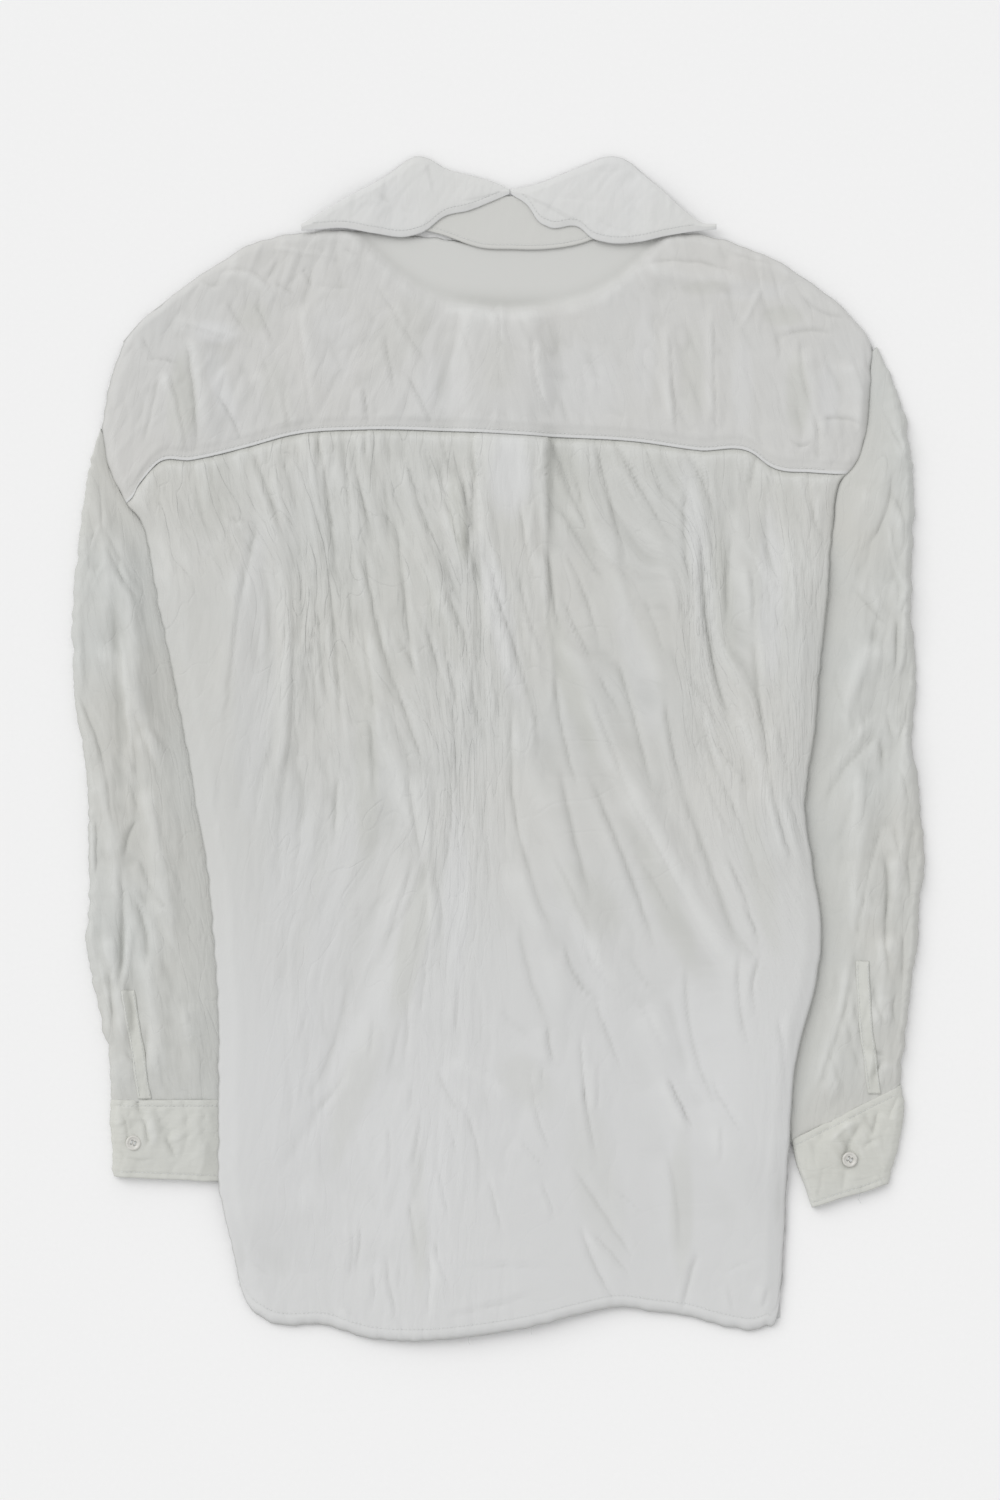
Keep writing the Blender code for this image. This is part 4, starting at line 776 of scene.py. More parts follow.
def gridMesh(name, x, y, high, flow, lively, material, turned=False, ring=False):
    # a grid of quads, moved to the points given, with the flow and a mask of painted shade in its hollows and
    # painted highlight on its ridges kept on it
    rows, columns = x.shape
    work = bmesh.new()
    bmesh.ops.create_grid(work, x_segments=columns - 1, y_segments=rows - 1, size=0.5)
    data = meshFrom(work, name)
    flat = np.empty(len(data.vertices) * 3)
    data.vertices.foreach_get("co", flat)
    flat = flat.reshape(-1, 3)
    column = np.rint((flat[:, 0] + 0.5) * (columns - 1)).astype(int)
    row = np.rint((0.5 - flat[:, 1]) * (rows - 1)).astype(int)
    points = np.stack((x[row, column], y[row, column], high[row, column]), -1) * mm
    data.vertices.foreach_set("co", points.astype(np.float32).ravel())
    # painted shade: hollows get a mask that darkens their colour, and ridges get one below 0 that paints them
    # lighter
    near, broad = blurred(high, 9), blurred(high, 60)
    hollowShade = np.clip((near - high) / 1.7 + (broad - near) / 4.5, -1, 1)
    flowPoints = np.stack((flow[0][row, column] * mm, flow[1][row, column] * mm, 0 * hollowShade[row, column]), -1)
    layer = data.attributes.new("flow", "FLOAT_VECTOR", "POINT")
    layer.data.foreach_set("vector", flowPoints.astype(np.float32).ravel())
    layer = data.attributes.new("hollowShade", "FLOAT", "POINT")
    layer.data.foreach_set("value", hollowShade[row, column].astype(np.float32))
    layer = data.attributes.new("lively", "FLOAT", "POINT")
    layer.data.foreach_set("value", np.broadcast_to(lively, x.shape)[row, column].astype(np.float32))
    if ring or turned:
        work = bmesh.new()
        work.from_mesh(data)
        if ring:
            bmesh.ops.remove_doubles(work, verts=work.verts, dist=1e-4 * mm)
        if turned:
            bmesh.ops.reverse_faces(work, faces=work.faces)
        work.to_mesh(data)
        work.free()
    data.materials.append(material)
    data.shade_smooth()
    data.update()
    return addObject(name, data)


def addWall(obj, thick, offset=-1.0):
    wall = obj.modifiers.new("wall", "SOLIDIFY")
    wall.thickness = thick * mm
    wall.offset = offset
    return obj


def finishPiece(obj, slot, *nodes):
    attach(obj, "root")
    if nodes:
        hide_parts(*nodes)
    return obj


# Materials

def newMaterial(name):
    material = bpy.data.materials.new(name)
    material.use_nodes = True
    tree = material.node_tree
    return material, tree, tree.nodes["Principled BSDF"]


def addNode(tree, kind, inputs=None, **settings):
    node = tree.nodes.new(kind)
    for key, value in settings.items():
        setattr(node, key, value)
    for key, value in (inputs or {}).items():
        if isinstance(value, bpy.types.NodeSocket):
            tree.links.new(value, node.inputs[key])
        else:
            node.inputs[key].default_value = value
    return node


def readAttribute(tree, name):
    return addNode(tree, "ShaderNodeAttribute", attribute_name=name)


def ramp(tree, value, low, high, most):
    node = addNode(
        tree, "ShaderNodeMapRange",
        {"Value": value, "From Min": low, "From Max": high, "To Min": 0.0, "To Max": most},
    )
    return node.outputs["Result"]


def mathNode(tree, operation, *values):
    return addNode(tree, "ShaderNodeMath", dict(enumerate(values)), operation=operation).outputs["Value"]


def bumpNode(tree, strength, distance, height, **inputs):
    values = {"Strength": strength, "Distance": distance, "Height": height, **inputs}
    return addNode(tree, "ShaderNodeBump", values).outputs["Normal"]


def setShader(tree, shader, colour, normal, finish):
    tree.links.new(colour, shader.inputs["Base Color"])
    if normal:
        tree.links.new(normal, shader.inputs["Normal"])
    for key, value in finish.items():
        shader.inputs[key].default_value = value


def mixColour(tree, share, first, second, blend="MIX"):
    node = tree.nodes.new("ShaderNodeMix")
    node.data_type = "RGBA"
    node.blend_type = blend
    for key, value in ((0, share), (6, first), (7, second)):
        if isinstance(value, bpy.types.NodeSocket):
            tree.links.new(value, node.inputs[key])
        else:
            node.inputs[key].default_value = value
    return node.outputs[2]


cloths = {
    "body": {"colour": (0.588, 0.594, 0.578), "warm": (0.594, 0.592, 0.566), "bump": 0.95},
    "yoke": {"colour": (0.608, 0.610, 0.600), "warm": (0.612, 0.608, 0.590), "bump": 0.75},
    "sleeve": {"colour": (0.576, 0.586, 0.568), "warm": (0.572, 0.570, 0.540), "bump": 0.85},
    "cuff": {"colour": (0.606, 0.614, 0.584), "warm": (0.602, 0.604, 0.562), "bump": 0.7},
    "stand": {"colour": (0.622, 0.624, 0.604), "warm": (0.610, 0.610, 0.586), "bump": 0.4},
    "collar": {"colour": (0.680, 0.684, 0.680), "warm": (0.664, 0.666, 0.650), "bump": 0.55},
}


clothFinish = {"Roughness": 0.86, "Specular IOR Level": 0.22, "Sheen Weight": 0.12, "Sheen Roughness": 0.5}
# tints: neck and hem are the cloth's own colour, the others are painted shade and painted highlight
clothTints = {
    "neck": (0.626, 0.628, 0.610, 1),
    "hem": (0.644, 0.648, 0.646, 1),
    "paintedShadeGrey": (0.535, 0.540, 0.505, 1),
    "paintedHighlightWhite": (0.665, 0.670, 0.672, 1),
    "hollowShade": (0.37, 0.375, 0.35, 1),
    "ridgeHighlight": (0.80, 0.81, 0.80, 1),
}


def clothMaterial(name, cloth, tinted=None):
    material, tree, shader = newMaterial(name)
    flow = readAttribute(tree, "flow").outputs["Vector"]
    hollowShade = readAttribute(tree, "hollowShade").outputs["Fac"]
    shadeAndHighlight = readAttribute(tree, "shadeAndHighlight").outputs["Fac"]
    lively = readAttribute(tree, "lively").outputs["Fac"]
    place = addNode(tree, "ShaderNodeTexCoord")
    patches = addNode(
        tree, "ShaderNodeTexNoise", {"Vector": place.outputs["Object"], "Scale": 9.0, "Detail": 3.0}
    )
    patchShare = ramp(tree, patches.outputs["Fac"], 0.35, 0.7, 1.0)
    colour = mixColour(tree, patchShare, (*cloth["colour"], 1), (*cloth["warm"], 1))
    if tinted:
        colour = mixColour(tree, readAttribute(tree, tinted).outputs["Fac"], colour, clothTints[tinted])
    # painted shade and highlight: the colour goes towards a warm grey for painted shade and a bright white for
    # painted highlight, darker in the hollows and lighter on the ridges
    for value, low, high, most, tint in (
        (shadeAndHighlight, 0.0, 1.6, 0.8, "paintedShadeGrey"), (shadeAndHighlight, 0.0, -1.4, 0.8, "paintedHighlightWhite"),
        (hollowShade, 0.05, 0.9, 0.42, "hollowShade"), (hollowShade, -0.1, -0.7, 0.22, "ridgeHighlight"),
    ):
        colour = mixColour(tree, ramp(tree, value, low, high, most), colour, clothTints[tint])

    # small facets that run with the cloth, a few thin crossing creases, and the plain weave
    def noiseAlong(scale, stretch, turn, detail):
        along = addNode(
            tree, "ShaderNodeMapping",
            {"Vector": flow, "Rotation": (0, 0, turn), "Scale": (1.0, stretch, 1.0)},
        )
        noise = addNode(
            tree, "ShaderNodeTexNoise",
            {"Vector": along.outputs["Vector"], "Scale": scale, "Detail": detail, "Distortion": 0.5},
        )
        return noise.outputs["Fac"]

    def threads(**settings):
        wave = {"Vector": flow, "Scale": 560.0, "Distortion": 1.2}
        return addNode(tree, "ShaderNodeTexWave", wave, **settings).outputs["Fac"]

    facets = noiseAlong(230.0, 0.2, 0.1, 2.0)
    crossing = noiseAlong(62.0, 0.35, -0.5, 1.0)
    fromLine = mathNode(tree, "ABSOLUTE", mathNode(tree, "SUBTRACT", crossing, 0.5))
    height = mathNode(tree, "ADD", facets, ramp(tree, fromLine, 0.0, 0.03, 0.22))
    creased = bumpNode(tree, mathNode(tree, "MULTIPLY", lively, cloth["bump"]), 0.0011, height)
    weave = mathNode(tree, "MAXIMUM", threads(), threads(bands_direction="Y"))
    woven = bumpNode(tree, 0.2, 0.0001, weave, Normal=creased)
    setShader(tree, shader, colour, woven, clothFinish)
    return material


def threadMaterial():
    material, tree, shader = newMaterial("sewingThread")
    place = addNode(tree, "ShaderNodeTexCoord")
    twist = addNode(
        tree, "ShaderNodeTexWave", {"Vector": place.outputs["Object"], "Scale": 900.0, "Distortion": 0.5},
        bands_direction="DIAGONAL",
    )
    colour = mixColour(tree, twist.outputs["Fac"], (0.60, 0.61, 0.60, 1), (0.74, 0.75, 0.74, 1))
    normal = bumpNode(tree, 0.3, 0.0001, twist.outputs["Fac"])
    setShader(tree, shader, colour, normal, {"Roughness": 0.7, "Sheen Weight": 0.2})
    return material


def shellMaterial():
    # a pale shell button, with faint cloudy layers
    material, tree, shader = newMaterial("buttonShell")
    place = addNode(tree, "ShaderNodeTexCoord")
    drawn = addNode(
        tree, "ShaderNodeMapping", {"Vector": place.outputs["Object"], "Scale": (1.0, 2.6, 1.0)}
    )
    cloudy = addNode(
        tree, "ShaderNodeTexNoise",
        {"Vector": drawn.outputs["Vector"], "Scale": 160.0, "Detail": 3.0, "Distortion": 0.8},
    )
    colour = mixColour(tree, cloudy.outputs["Fac"], (0.50, 0.49, 0.45, 1), (0.74, 0.73, 0.70, 1))
    normal = bumpNode(tree, 0.12, 0.0001, cloudy.outputs["Fac"])
    finish = {"Roughness": 0.28, "Coat Weight": 0.4, "Coat Roughness": 0.15}
    setShader(tree, shader, colour, normal, finish)
    return material


def addTint(obj, name, tint):
    # a colour share for each point, worked out from where it lies
    data = obj.data
    co = np.empty(len(data.vertices) * 3)
    data.vertices.foreach_get("co", co)
    co = co.reshape(-1, 3) / mm
    layer = data.attributes.new(name, "FLOAT", "POINT")
    layer.data.foreach_set("value", tint(co[:, 0], co[:, 1]).astype(np.float32))


bodyMaterial = clothMaterial("bodyCloth", cloths["body"], "hem")
yokeMaterial = clothMaterial("yokeCloth", cloths["yoke"], "neck")
sleeveMaterial = clothMaterial("sleeveCloth", cloths["sleeve"])
cuffMaterial = clothMaterial("cuffCloth", cloths["cuff"])
collarMaterial = clothMaterial("collarCloth", cloths["collar"])
standMaterial = clothMaterial("standCloth", cloths["stand"])
sewingThread = threadMaterial()
buttonShell = shellMaterial()
print("materials made")


# Camera, light and floor

studio = {
    "lens": 85.0,
    "sensor": 36.0,
    "frameHigh": 1.08,  # metres of the surface from the top to the bottom of the image
    "aim": (0.0011, -0.0011),
    "shirtHigh": 0.009,
    "floorHigh": -0.0004,
    "sky": 0.735,
    "sun": 1.12,
    "sunFrom": (-0.62, 0.55, 0.78),
    "sunAngle": 48.0,
}


def makeStudio():
    scene = bpy.context.scene
    scene.view_settings.view_transform = "Standard"
    lens = bpy.data.cameras.new("camera")
    lens.lens = studio["lens"]
    lens.sensor_width = studio["sensor"]
    camera = addObject("camera", lens)
    away = studio["frameHigh"] * studio["lens"] / studio["sensor"]
    camera.location = (*studio["aim"], away + studio["shirtHigh"])
    scene.camera = camera

    world = bpy.data.worlds.new("softRoom")
    world.use_nodes = True
    sky = world.node_tree.nodes["Background"].inputs
    sky["Color"].default_value = (1, 1, 1, 1)
    sky["Strength"].default_value = studio["sky"]
    scene.world = world

    lamp = bpy.data.lights.new("window", "SUN")
    lamp.energy = studio["sun"]
    lamp.angle = np.radians(studio["sunAngle"])
    window = addObject("window", lamp)
    window.rotation_mode = "QUATERNION"
    window.rotation_quaternion = Vector(studio["sunFrom"]).to_track_quat("Z", "Y")

    work = bmesh.new()
    bmesh.ops.create_grid(work, x_segments=8, y_segments=8, size=10.0)
    floor = addObject("floor", meshFrom(work, "floor"))
    floor.location = (0, 0, studio["floorHigh"])
    material, tree, shader = newMaterial("floorPaper")
    place = addNode(tree, "ShaderNodeTexCoord")
    grain = addNode(tree, "ShaderNodeTexNoise", {"Vector": place.outputs["Object"], "Scale": 300.0})
    colour = mixColour(tree, grain.outputs["Fac"], (0.89, 0.89, 0.89, 1), (0.91, 0.91, 0.91, 1))
    setShader(tree, shader, colour, None, {"Roughness": 0.9, "Specular IOR Level": 0.1})
    floor.data.materials.append(material)
    floor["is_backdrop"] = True


makeStudio()
print("studio made")


# Back

def hemTone(x, y):
    return step((60 - y) / 320)


def makeBack():
    across, down = spread(backCloth["columns"] + 1), spread(backCloth["rows"] + 1, 0.25)
    u, v = np.meshgrid(across, down)
    topY = seamLine(u) + 1.6
    lowY = readCurve(hem, lerp(-186, 204, u))
    y = lerp(topY, lowY, v)
    x = lerp(bodyLeft(y), bodyRight(y), u)
    high = backHeight(x, y)
    edges = offSides(x, y, 6) * step((readCurve(yokeSeam, x) - y) / 5) * step((y - readCurve(hem, x)) / 8)
    flow = flowAcross(x, y), y
    lively = backLively(x, y)
    x, y = sharpen(x, y, high, edges)
    x = wavySides(x, y, u, 1.5, 61)
    y = y + 1.4 * softNoise(x / 8, 0 * x + 4, 62) * v**14
    obj = gridMesh("back_cloth", x, y, high, flow, lively, bodyMaterial)
    addTint(obj, "hem", hemTone)
    # painted shade and painted highlight on the back: the patches, the shade under the yoke and the pale hem
    # edge
    addTint(obj, "shadeAndHighlight", lambda x, y: patchShadeAndHighlight(bodyShadePatches, x, y) + seamShadeHemHighlight(x, y))
    addWall(obj, layers["cloth"])
    return finishPiece(obj, "body_cloth", "back")


back = makeBack()
print("back made")


# Yoke

def yokeShadeAndHighlight(x, y):
    # painted highlight that makes the folded edge along the seam pale, added to the painted shade and highlight
    # patches
    folded = 1 - step((y - readCurve(yokeSeam, x)) / 1.6)
    return patchShadeAndHighlight(yokeShadePatches, x, y) * (1 - inScoop(x, y)) - 1.5 * folded


def makeYoke():
    across, down = spread(yokeCloth["columns"] + 1, 0.15), spread(yokeCloth["rows"] + 1, 0.45)
    u, v = np.meshgrid(across, down)
    topY = readCurve(shoulder, lerp(-270, 270, u))
    lowY = seamLine(u) - 1.1
    y = lerp(topY, lowY, v)
    side = np.minimum(y, 294.0)
    x = lerp(bodyLeft(side), bodyRight(side), u)
    high = yokeHeight(x, y)
    edges = offSides(x, y, 6) * step((y - readCurve(yokeSeam, x) - 2) / 5)
    edges = edges * step((readCurve(shoulder, x) - y) / 6)
    flow = yokeFlow(x, y), y
    lively = 0.5 * (1 - 0.95 * inScoop(x, y))
    x, y = sharpen(x, y, high, edges)
    x = wavySides(x, y, u, 1.4, 64)
    y = y + 1.5 * softNoise(x / 10, 0 * x + 4, 65) * (1 - v) ** 14
    obj = gridMesh("yoke_cloth", x, y, high, flow, lively, yokeMaterial)
    addTint(obj, "neck", inScoop)
    # painted shade and painted highlight on the yoke
    addTint(obj, "shadeAndHighlight", yokeShadeAndHighlight)
    addWall(obj, layers["cloth"])
    return finishPiece(obj, "body_cloth", "yoke")


yoke = makeYoke()
print("yoke made")


# Fronts

def makeFront(name, side, node):
    u, v = np.meshgrid(spread(56, 0.2), spread(150, 0.3))
    edgeX = lerp(side * 269.0, -side * layers["overlapHalf"], u)
    neck = np.where((edgeX > -121) & (edgeX < 132), readCurve(scoop, edgeX), 999.0)
    topY = np.minimum(readCurve(shoulder, edgeX) - 1.0, neck)
    lowY = readCurve(hem, lerp(side * 190.0, -side * layers["overlapHalf"], u)) + 7.0
    y = lerp(topY, lowY, v)
    sideY = np.minimum(y, 290.0)
    outer = bodyLeft(sideY) + 0.6 if side < 0 else bodyRight(sideY) - 0.6
    x = lerp(outer, np.full_like(y, -side * layers["overlapHalf"]), u)
    laidOver = layers["wall"] + layers["seamGap"] if side > 0 else 0.0
    laidOver = laidOver * (1 - step((np.abs(x) - layers["overlapHalf"] - 3) / 20))
    low = sideLift(x, y) + placketLift(x, y) + laidOver
    crinkled = -creaseHeight(frontCreases, side * x, y)
    fine = 0.35 * np.clip(crinkle(x, y, 52 + side, 20, 80), 0, 2)
    away = np.minimum(np.abs(x - outer), np.abs(x + side * layers["overlapHalf"]))
    high = low + layers["cloth"] + 0.05 + step(away / 12) * np.clip(crinkled + fine, 0, 1.05)
    obj = gridMesh(name, x, y, high, (x, y), 0.5, bodyMaterial, turned=side > 0)
    addTint(obj, "hem", hemTone)
    addWall(obj, layers["cloth"])
    return finishPiece(obj, "body_cloth", node)


frontLeft = makeFront("front_left_cloth", -1, "front_left")
frontRight = makeFront("front_right_cloth", 1, "front_right")
print("fronts made")


# Sleeves and cuffs: flattened tubes through slanted sections

def sectionEnds(sections, share):
    # the outer and inner end of a tube's section, at a share of its length
    table = np.array(sections, float)
    stations = np.linspace(0, 1, len(table))
    return [readCurve(list(zip(stations, table[:, column])), share) for column in range(4)]


def tubeCloth(name, sections, cloth, top, flowOf, lively, material, side, pull=0.0):
    # the upper side of each ring comes first, then its flat underside
    places = [(f, 1.0) for f in spread(cloth["over"], 0.55)]
    places += [(f, -1.0) for f in spread(cloth["under"], 0.55)[::-1]][1:]
    across = np.array([f for f, _ in places])
    facing = np.array([s for _, s in places])
    down = spread(cloth["rows"], 0.2)
    outerX, outerY, innerX, innerY = [end[:, None] for end in sectionEnds(sections, down)]
    bodyEdge = bodyLeft(innerY) if side < 0 else bodyRight(innerY)
    outerX = outerX + 2.2 * softNoise(outerY / 11, 0 * outerY + side, 66)
    outerX = outerX + 1.2 * softNoise(outerY / 4.5, 0 * outerY, 67)
    sewn = bodyEdge - side * (0.4 + 8 * step((166 - innerY) / 26))
    reaching = np.minimum(innerX, sewn) if side > 0 else np.maximum(innerX, sewn)
    innerX = lerp(innerX, np.where(innerY > 166, sewn, reaching), pull * step((innerY - 40) / 50))
    wide = np.hypot(innerX - outerX, innerY - outerY)
    x = lerp(outerX, innerX, across[None])
    y = lerp(outerY, innerY, across[None])
    v = np.broadcast_to(down[:, None], x.shape)
    y = y + (1 - pull) * 1.5 * softNoise(x / 17, 0 * x + side, 93) * step((v - 0.4) / 0.6)
    fromOuter, fromInner = across[None] * wide, (1 - across[None]) * wide
    bend = np.minimum(cloth["edgeRound"], wide / 3)
    curve = rounded(fromOuter, bend) * rounded(fromInner, bend)
    middle = cloth["edge"] / 2
    high = top(x, y, fromOuter, fromInner, v)
    flow = flowOf(x, y)
    isTop = facing[None] > 0
    keep = isTop * step(fromOuter / 8) * step(fromInner / 8) * step(v / 0.02) * step((1 - v) / 0.02)
    movedX, movedY = sharpen(x, y, high, keep)
    x, y = np.where(isTop, movedX, x), np.where(isTop, movedY, y)
    lowest = 0.02 + 0.5 * pull * step((v - 0.975) / 0.02)
    z = np.where(isTop, middle + (high - middle) * curve, middle - (middle - lowest) * curve)
    obj = gridMesh(name, x, y, z, flow, lively, material, turned=side > 0, ring=True)
    return addWall(obj, layers["cloth"])


sleeveCloth = {
    "over": 84, "under": 20, "rows": 262, "edge": 4.0, "edgeRound": 3.4,
    "puff": 4.2, "crinkle": 0.85, "folds": 0.7, "lean": 0.16,
}


def sleeveLean(x, y, side):
    # the sleeves' crinkle leans outwards on its way down
    return x - side * sleeveCloth["lean"] * y


def sleeveTop(side, folds, creases):
    def top(x, y, fromOuter, fromInner, v):
        shown = (bodyLeft(y) - x) if side < 0 else (x - bodyRight(y))
        clear = step((shown - 1) / 32)
        sloped = 0.3 + 0.7 * step((fromOuter + 1) / 7)
        narrow = step((fromOuter + fromInner) / 30)
        toCuff = 0.55 + 0.45 * step((1 - v) / 0.05)
        noise = sleeveCloth["crinkle"] * crinkle(sleeveLean(x, y, side), y, 71 + side, 14, 66)
        raised = sleeveCloth["folds"] * foldHeight(folds, x, y)
        loft = sleeveCloth["puff"] + raised + creaseHeight(creases, x, y) + noise
        under = tucked(y, tuckLeft if side < 0 else tuckRight) + step((100 - y) / 30)
        seamDip = 1.3 * (1 - np.minimum(2.2 * under, 1)) * (1 - step((shown + 1) / 7))
        return layers["sleeveEdge"] - 0.3 - seamDip + clear * sloped * narrow * toCuff * softFloor(loft)

    return top


def makeSleeve(name, side, sections, folds, creases, node):
    def flowOf(x, y):
        return sleeveLean(x, y, side), y

    top = sleeveTop(side, folds, creases)
    lively = 0.7 if side < 0 else 0.6
    obj = tubeCloth(name, sections, sleeveCloth, top, flowOf, lively, sleeveMaterial, side, pull=1.0)
    return finishPiece(obj, "sleeve_cloth", node)


leftSleeve = makeSleeve(
    "sleeve_left_cloth", -1, sleeveLeft, sleeveLeftFolds, sleeveLeftCreases, "sleeve_left"
)
rightSleeve = makeSleeve(
    "sleeve_right_cloth", 1, sleeveRight, sleeveRightFolds, sleeveRightCreases, "sleeve_right"
)
print("sleeves made")

cuffCloth = {
    "over": 84, "under": 18, "rows": 64, "edge": 4.4, "edgeRound": 3.0,
    "puff": 2.2, "crinkle": 0.8, "high": 62, "stitched": (0.085, 0.925),
}


def makeCuff(name, side, sections, creases, node):
    def top(x, y, fromOuter, fromInner, v):
        shown = (bodyLeft(y) - x) if side < 0 else (x - bodyRight(y))
        clear = step((shown - 2) / 12)
        noise = cuffCloth["crinkle"] * crinkle(x + side * 0.4 * y, y - side * 0.4 * x, 90 + side, 13, 40)
        loft = cuffCloth["puff"] + creaseHeight(creases, x, y) + noise
        pressed = sum(0.35 * np.exp(-(((v - row) / 0.014) ** 2)) for row in cuffCloth["stitched"])
        fromTop, fromEnd = v * cuffCloth["high"], (1 - v) * cuffCloth["high"]
        ends = 0.6 * (1 - rounded(fromTop, 2.2)) + 1.2 * (1 - rounded(fromEnd, 2.0))
        sloped = step((fromOuter + 1) / 9)
        return layers["sleeveEdge"] + 0.4 + clear * sloped * (softFloor(loft) - pressed) - ends

    def flowOf(x, y):
        return y, x

    obj = tubeCloth(name, sections, cuffCloth, top, flowOf, 0.6, cuffMaterial, side)
    return finishPiece(obj, "sleeve_cloth", node)


leftCuff = makeCuff("cuff_left_cloth", -1, cuffLeft, cuffLeftCreases, "cuff_left")
rightCuff = makeCuff("cuff_right_cloth", 1, cuffRight, cuffRightCreases, "cuff_right")
print("cuffs made")


# Surfaces that small pieces lie on

def topSurface(obj):
    return BVHTree.FromObject(obj, bpy.context.evaluated_depsgraph_get())


def topOf(surface, x, y):
    hit = surface.ray_cast(Vector((x, y, 60)) * mm, Vector((0, 0, -1)))
    return (hit[0].z / mm, hit[1]) if hit[0] else (None, None)


# Collar

collarLeaf = {"columns": 150, "rows": 50, "thick": 1.15, "crinkle": 0.3, "stitch": 5.0}
collarCreases = [Crease(*row) for row in (
    (-52, 426, -50, 410, -44, 396, 4, 0.2, -0.9), (-82, 415, -82, 408, -81, 400, 3, 1.0, 0),
    (-86, 399, -82, 395, -76, 392, 6, 1.4, 0), (-104, 388, -92, 393, -80, 391, 9, 0.6, 0.8),
    (-70, 391, -66, 387, -61, 385, 4, 0.5, 0), (-76, 424, -73, 414, -70, 404, 5, 0.5, 0.5),
    (36, 396, 64, 394, 92, 390, 6, 0.4, -0.7), (60, 420, 84, 416, 96, 420, 6, 0.5, -0.4),
    (70, 384, 80, 377, 91, 371, 4, 0.8, 0.5), (90, 373, 96, 370, 101, 366, 4, 0.7, 0),
    (60, 378, 66, 373, 72, 367, 4, 0.8, 0.4), (96, 392, 104, 384, 110, 376, 6, 0.5, 0.4),
    (12, 402, 36, 391, 66, 374, 4, 0.6, 1.1), (-30, 395, -14, 397, 2, 402, 4, 0.5, 0.6),
    (-128, 384, -122, 380, -114, 378, 5, 0.5, 0),
)]


def makeWing(name, upper, lower, node):
    u, v = np.meshgrid(spread(collarLeaf["columns"], 0.2), spread(collarLeaf["rows"], 0.45))
    x = lerp(upper[0].across, upper[-1].across, u)
    topY, lowY = readCurve(upper, x), readCurve(lower, x)
    y = lerp(topY, lowY, v)
    fromTop, fromLow = topY - y, y - lowY
    edge = step(np.minimum(fromTop, fromLow) / 6)
    relief = creaseHeight(collarCreases, x, y) + collarLeaf["crinkle"] * crinkle(x - 0.6 * y, y, 120, 14, 40)
    rolled = 1.1 * (1 - rounded(fromTop, 2.6))
    turned = 0.55 * (1 - rounded(fromLow, 2.0))
    pressed = 0.15 * np.exp(-(((fromLow - collarLeaf["stitch"]) / 1.1) ** 2))
    high = wingFloor(x, y) + collarLeaf["thick"] + 0.15 + 1.2 * edge + np.clip(edge * relief, -1.0, 1.6)
    high = high - rolled - turned - pressed
    obj = gridMesh(name, x, y, high, (x, y), 0.5, collarMaterial)
    # a painted highlight makes the leaf's lower free edge pale
    addTint(obj, "shadeAndHighlight", lambda x, y: -1.3 * (1 - step((y - readCurve(lower, x)) / 2.6)))
    addWall(obj, collarLeaf["thick"])
    return finishPiece(obj, "collar_cloth", node)


leftWing = makeWing("collar_left_leaf", wingLeftTop, wingLeftLow, "collar_left")
rightWing = makeWing("collar_right_leaf", wingRightTop, wingRightLow, "collar_right")


standStrip = {"thick": 1.1, "stitch": 3.4}


def makeStand():
    u, v = np.meshgrid(spread(96, 0.2), spread(30, 0.4))
    x = lerp(standLow[0].across, standLow[-1].across, u)
    topY, lowY = readCurve(standTop, x), readCurve(standLow, x)
    y = lerp(topY, lowY, v)
    turned = 0.8 * (1 - rounded(y - lowY, 2.2))
    pressed = 0.15 * np.exp(-(((y - lowY - standStrip["stitch"]) / 0.8) ** 2))
    high = standHeight(x, y) - 0.3 - turned - pressed + 0.12 * crinkle(x, y, 140, 18, 30)
    obj = gridMesh("collar_stand_cloth", x, y, high, (x, y), 0.3, standMaterial)
    addWall(obj, standStrip["thick"])
    return finishPiece(obj, "collar_cloth", "collar_stand")


stand = makeStand()
print("collar made")


# Sleeve plackets

placketStrip = {"half": 4.8, "long": 85, "thick": 0.7, "stitch": 3.7}


def acrossRoute(route, up):
    return readCurve([(p.up, p.across) for p in route], up)


def makePlacket(name, route, under, node):
    surface = topSurface(under)
    u, v = np.meshgrid(np.linspace(-1, 1, 15), np.linspace(0, 1, 64))
    upY = lerp(route[0].up, route[-1].up, v)
    middle = acrossRoute(route, upY)
    halfWide = placketStrip["half"] + 0.7 * softNoise(upY / 13, 0 * upY, 81)
    x = middle + halfWide * u + 1.1 * softNoise(upY / 19, 0 * upY, 83)
    y = upY + 1.2 * softNoise(u / 0.8, 0 * u, 85) * (1 - v)
    z = np.zeros_like(x)
    for spot in np.ndindex(x.shape):
        z[spot] = topOf(surface, x[spot], y[spot])[0]
    z = np.maximum(z, blurred(z, 3)) + 0.15 + 0.75 + 0.35 * crinkle(x, y, 87, 7, 24)
    z = z - 0.45 * (1 - rounded(5 * (1 - np.abs(u)), 1.6)) - 0.45 * (1 - rounded(placketStrip["long"] * v, 2.2))
    obj = gridMesh(name, x, y, z, (x, y), 0.5, cuffMaterial)
    addWall(obj, placketStrip["thick"])
    return finishPiece(obj, "sleeve_cloth", node)


routeLeft = [Point(-267, -174), Point(-261, -210), Point(-255, -252.4)]
routeRight = [Point(262, -153), Point(264, -195), Point(271, -248.8)]
leftPlacket = makePlacket("placket_left_strip", routeLeft, leftSleeve, "placket_left")
rightPlacket = makePlacket("placket_right_strip", routeRight, rightSleeve, "placket_right")
print("plackets made")


# Buttons

buttonShape = {"radius": 5.5, "high": 2.2, "hole": 0.85, "holeOut": 1.65, "segments": 48}
buttonProfile = [Point(*row) for row in (
    (0.0, 0.0), (4.3, 0.0), (5.2, 0.35), (5.5, 0.95), (5.42, 1.55), (5.0, 2.05), (4.4, 2.2), (3.9, 2.0),
    (3.5, 1.55), (2.8, 1.4), (0.0, 1.35),
)]


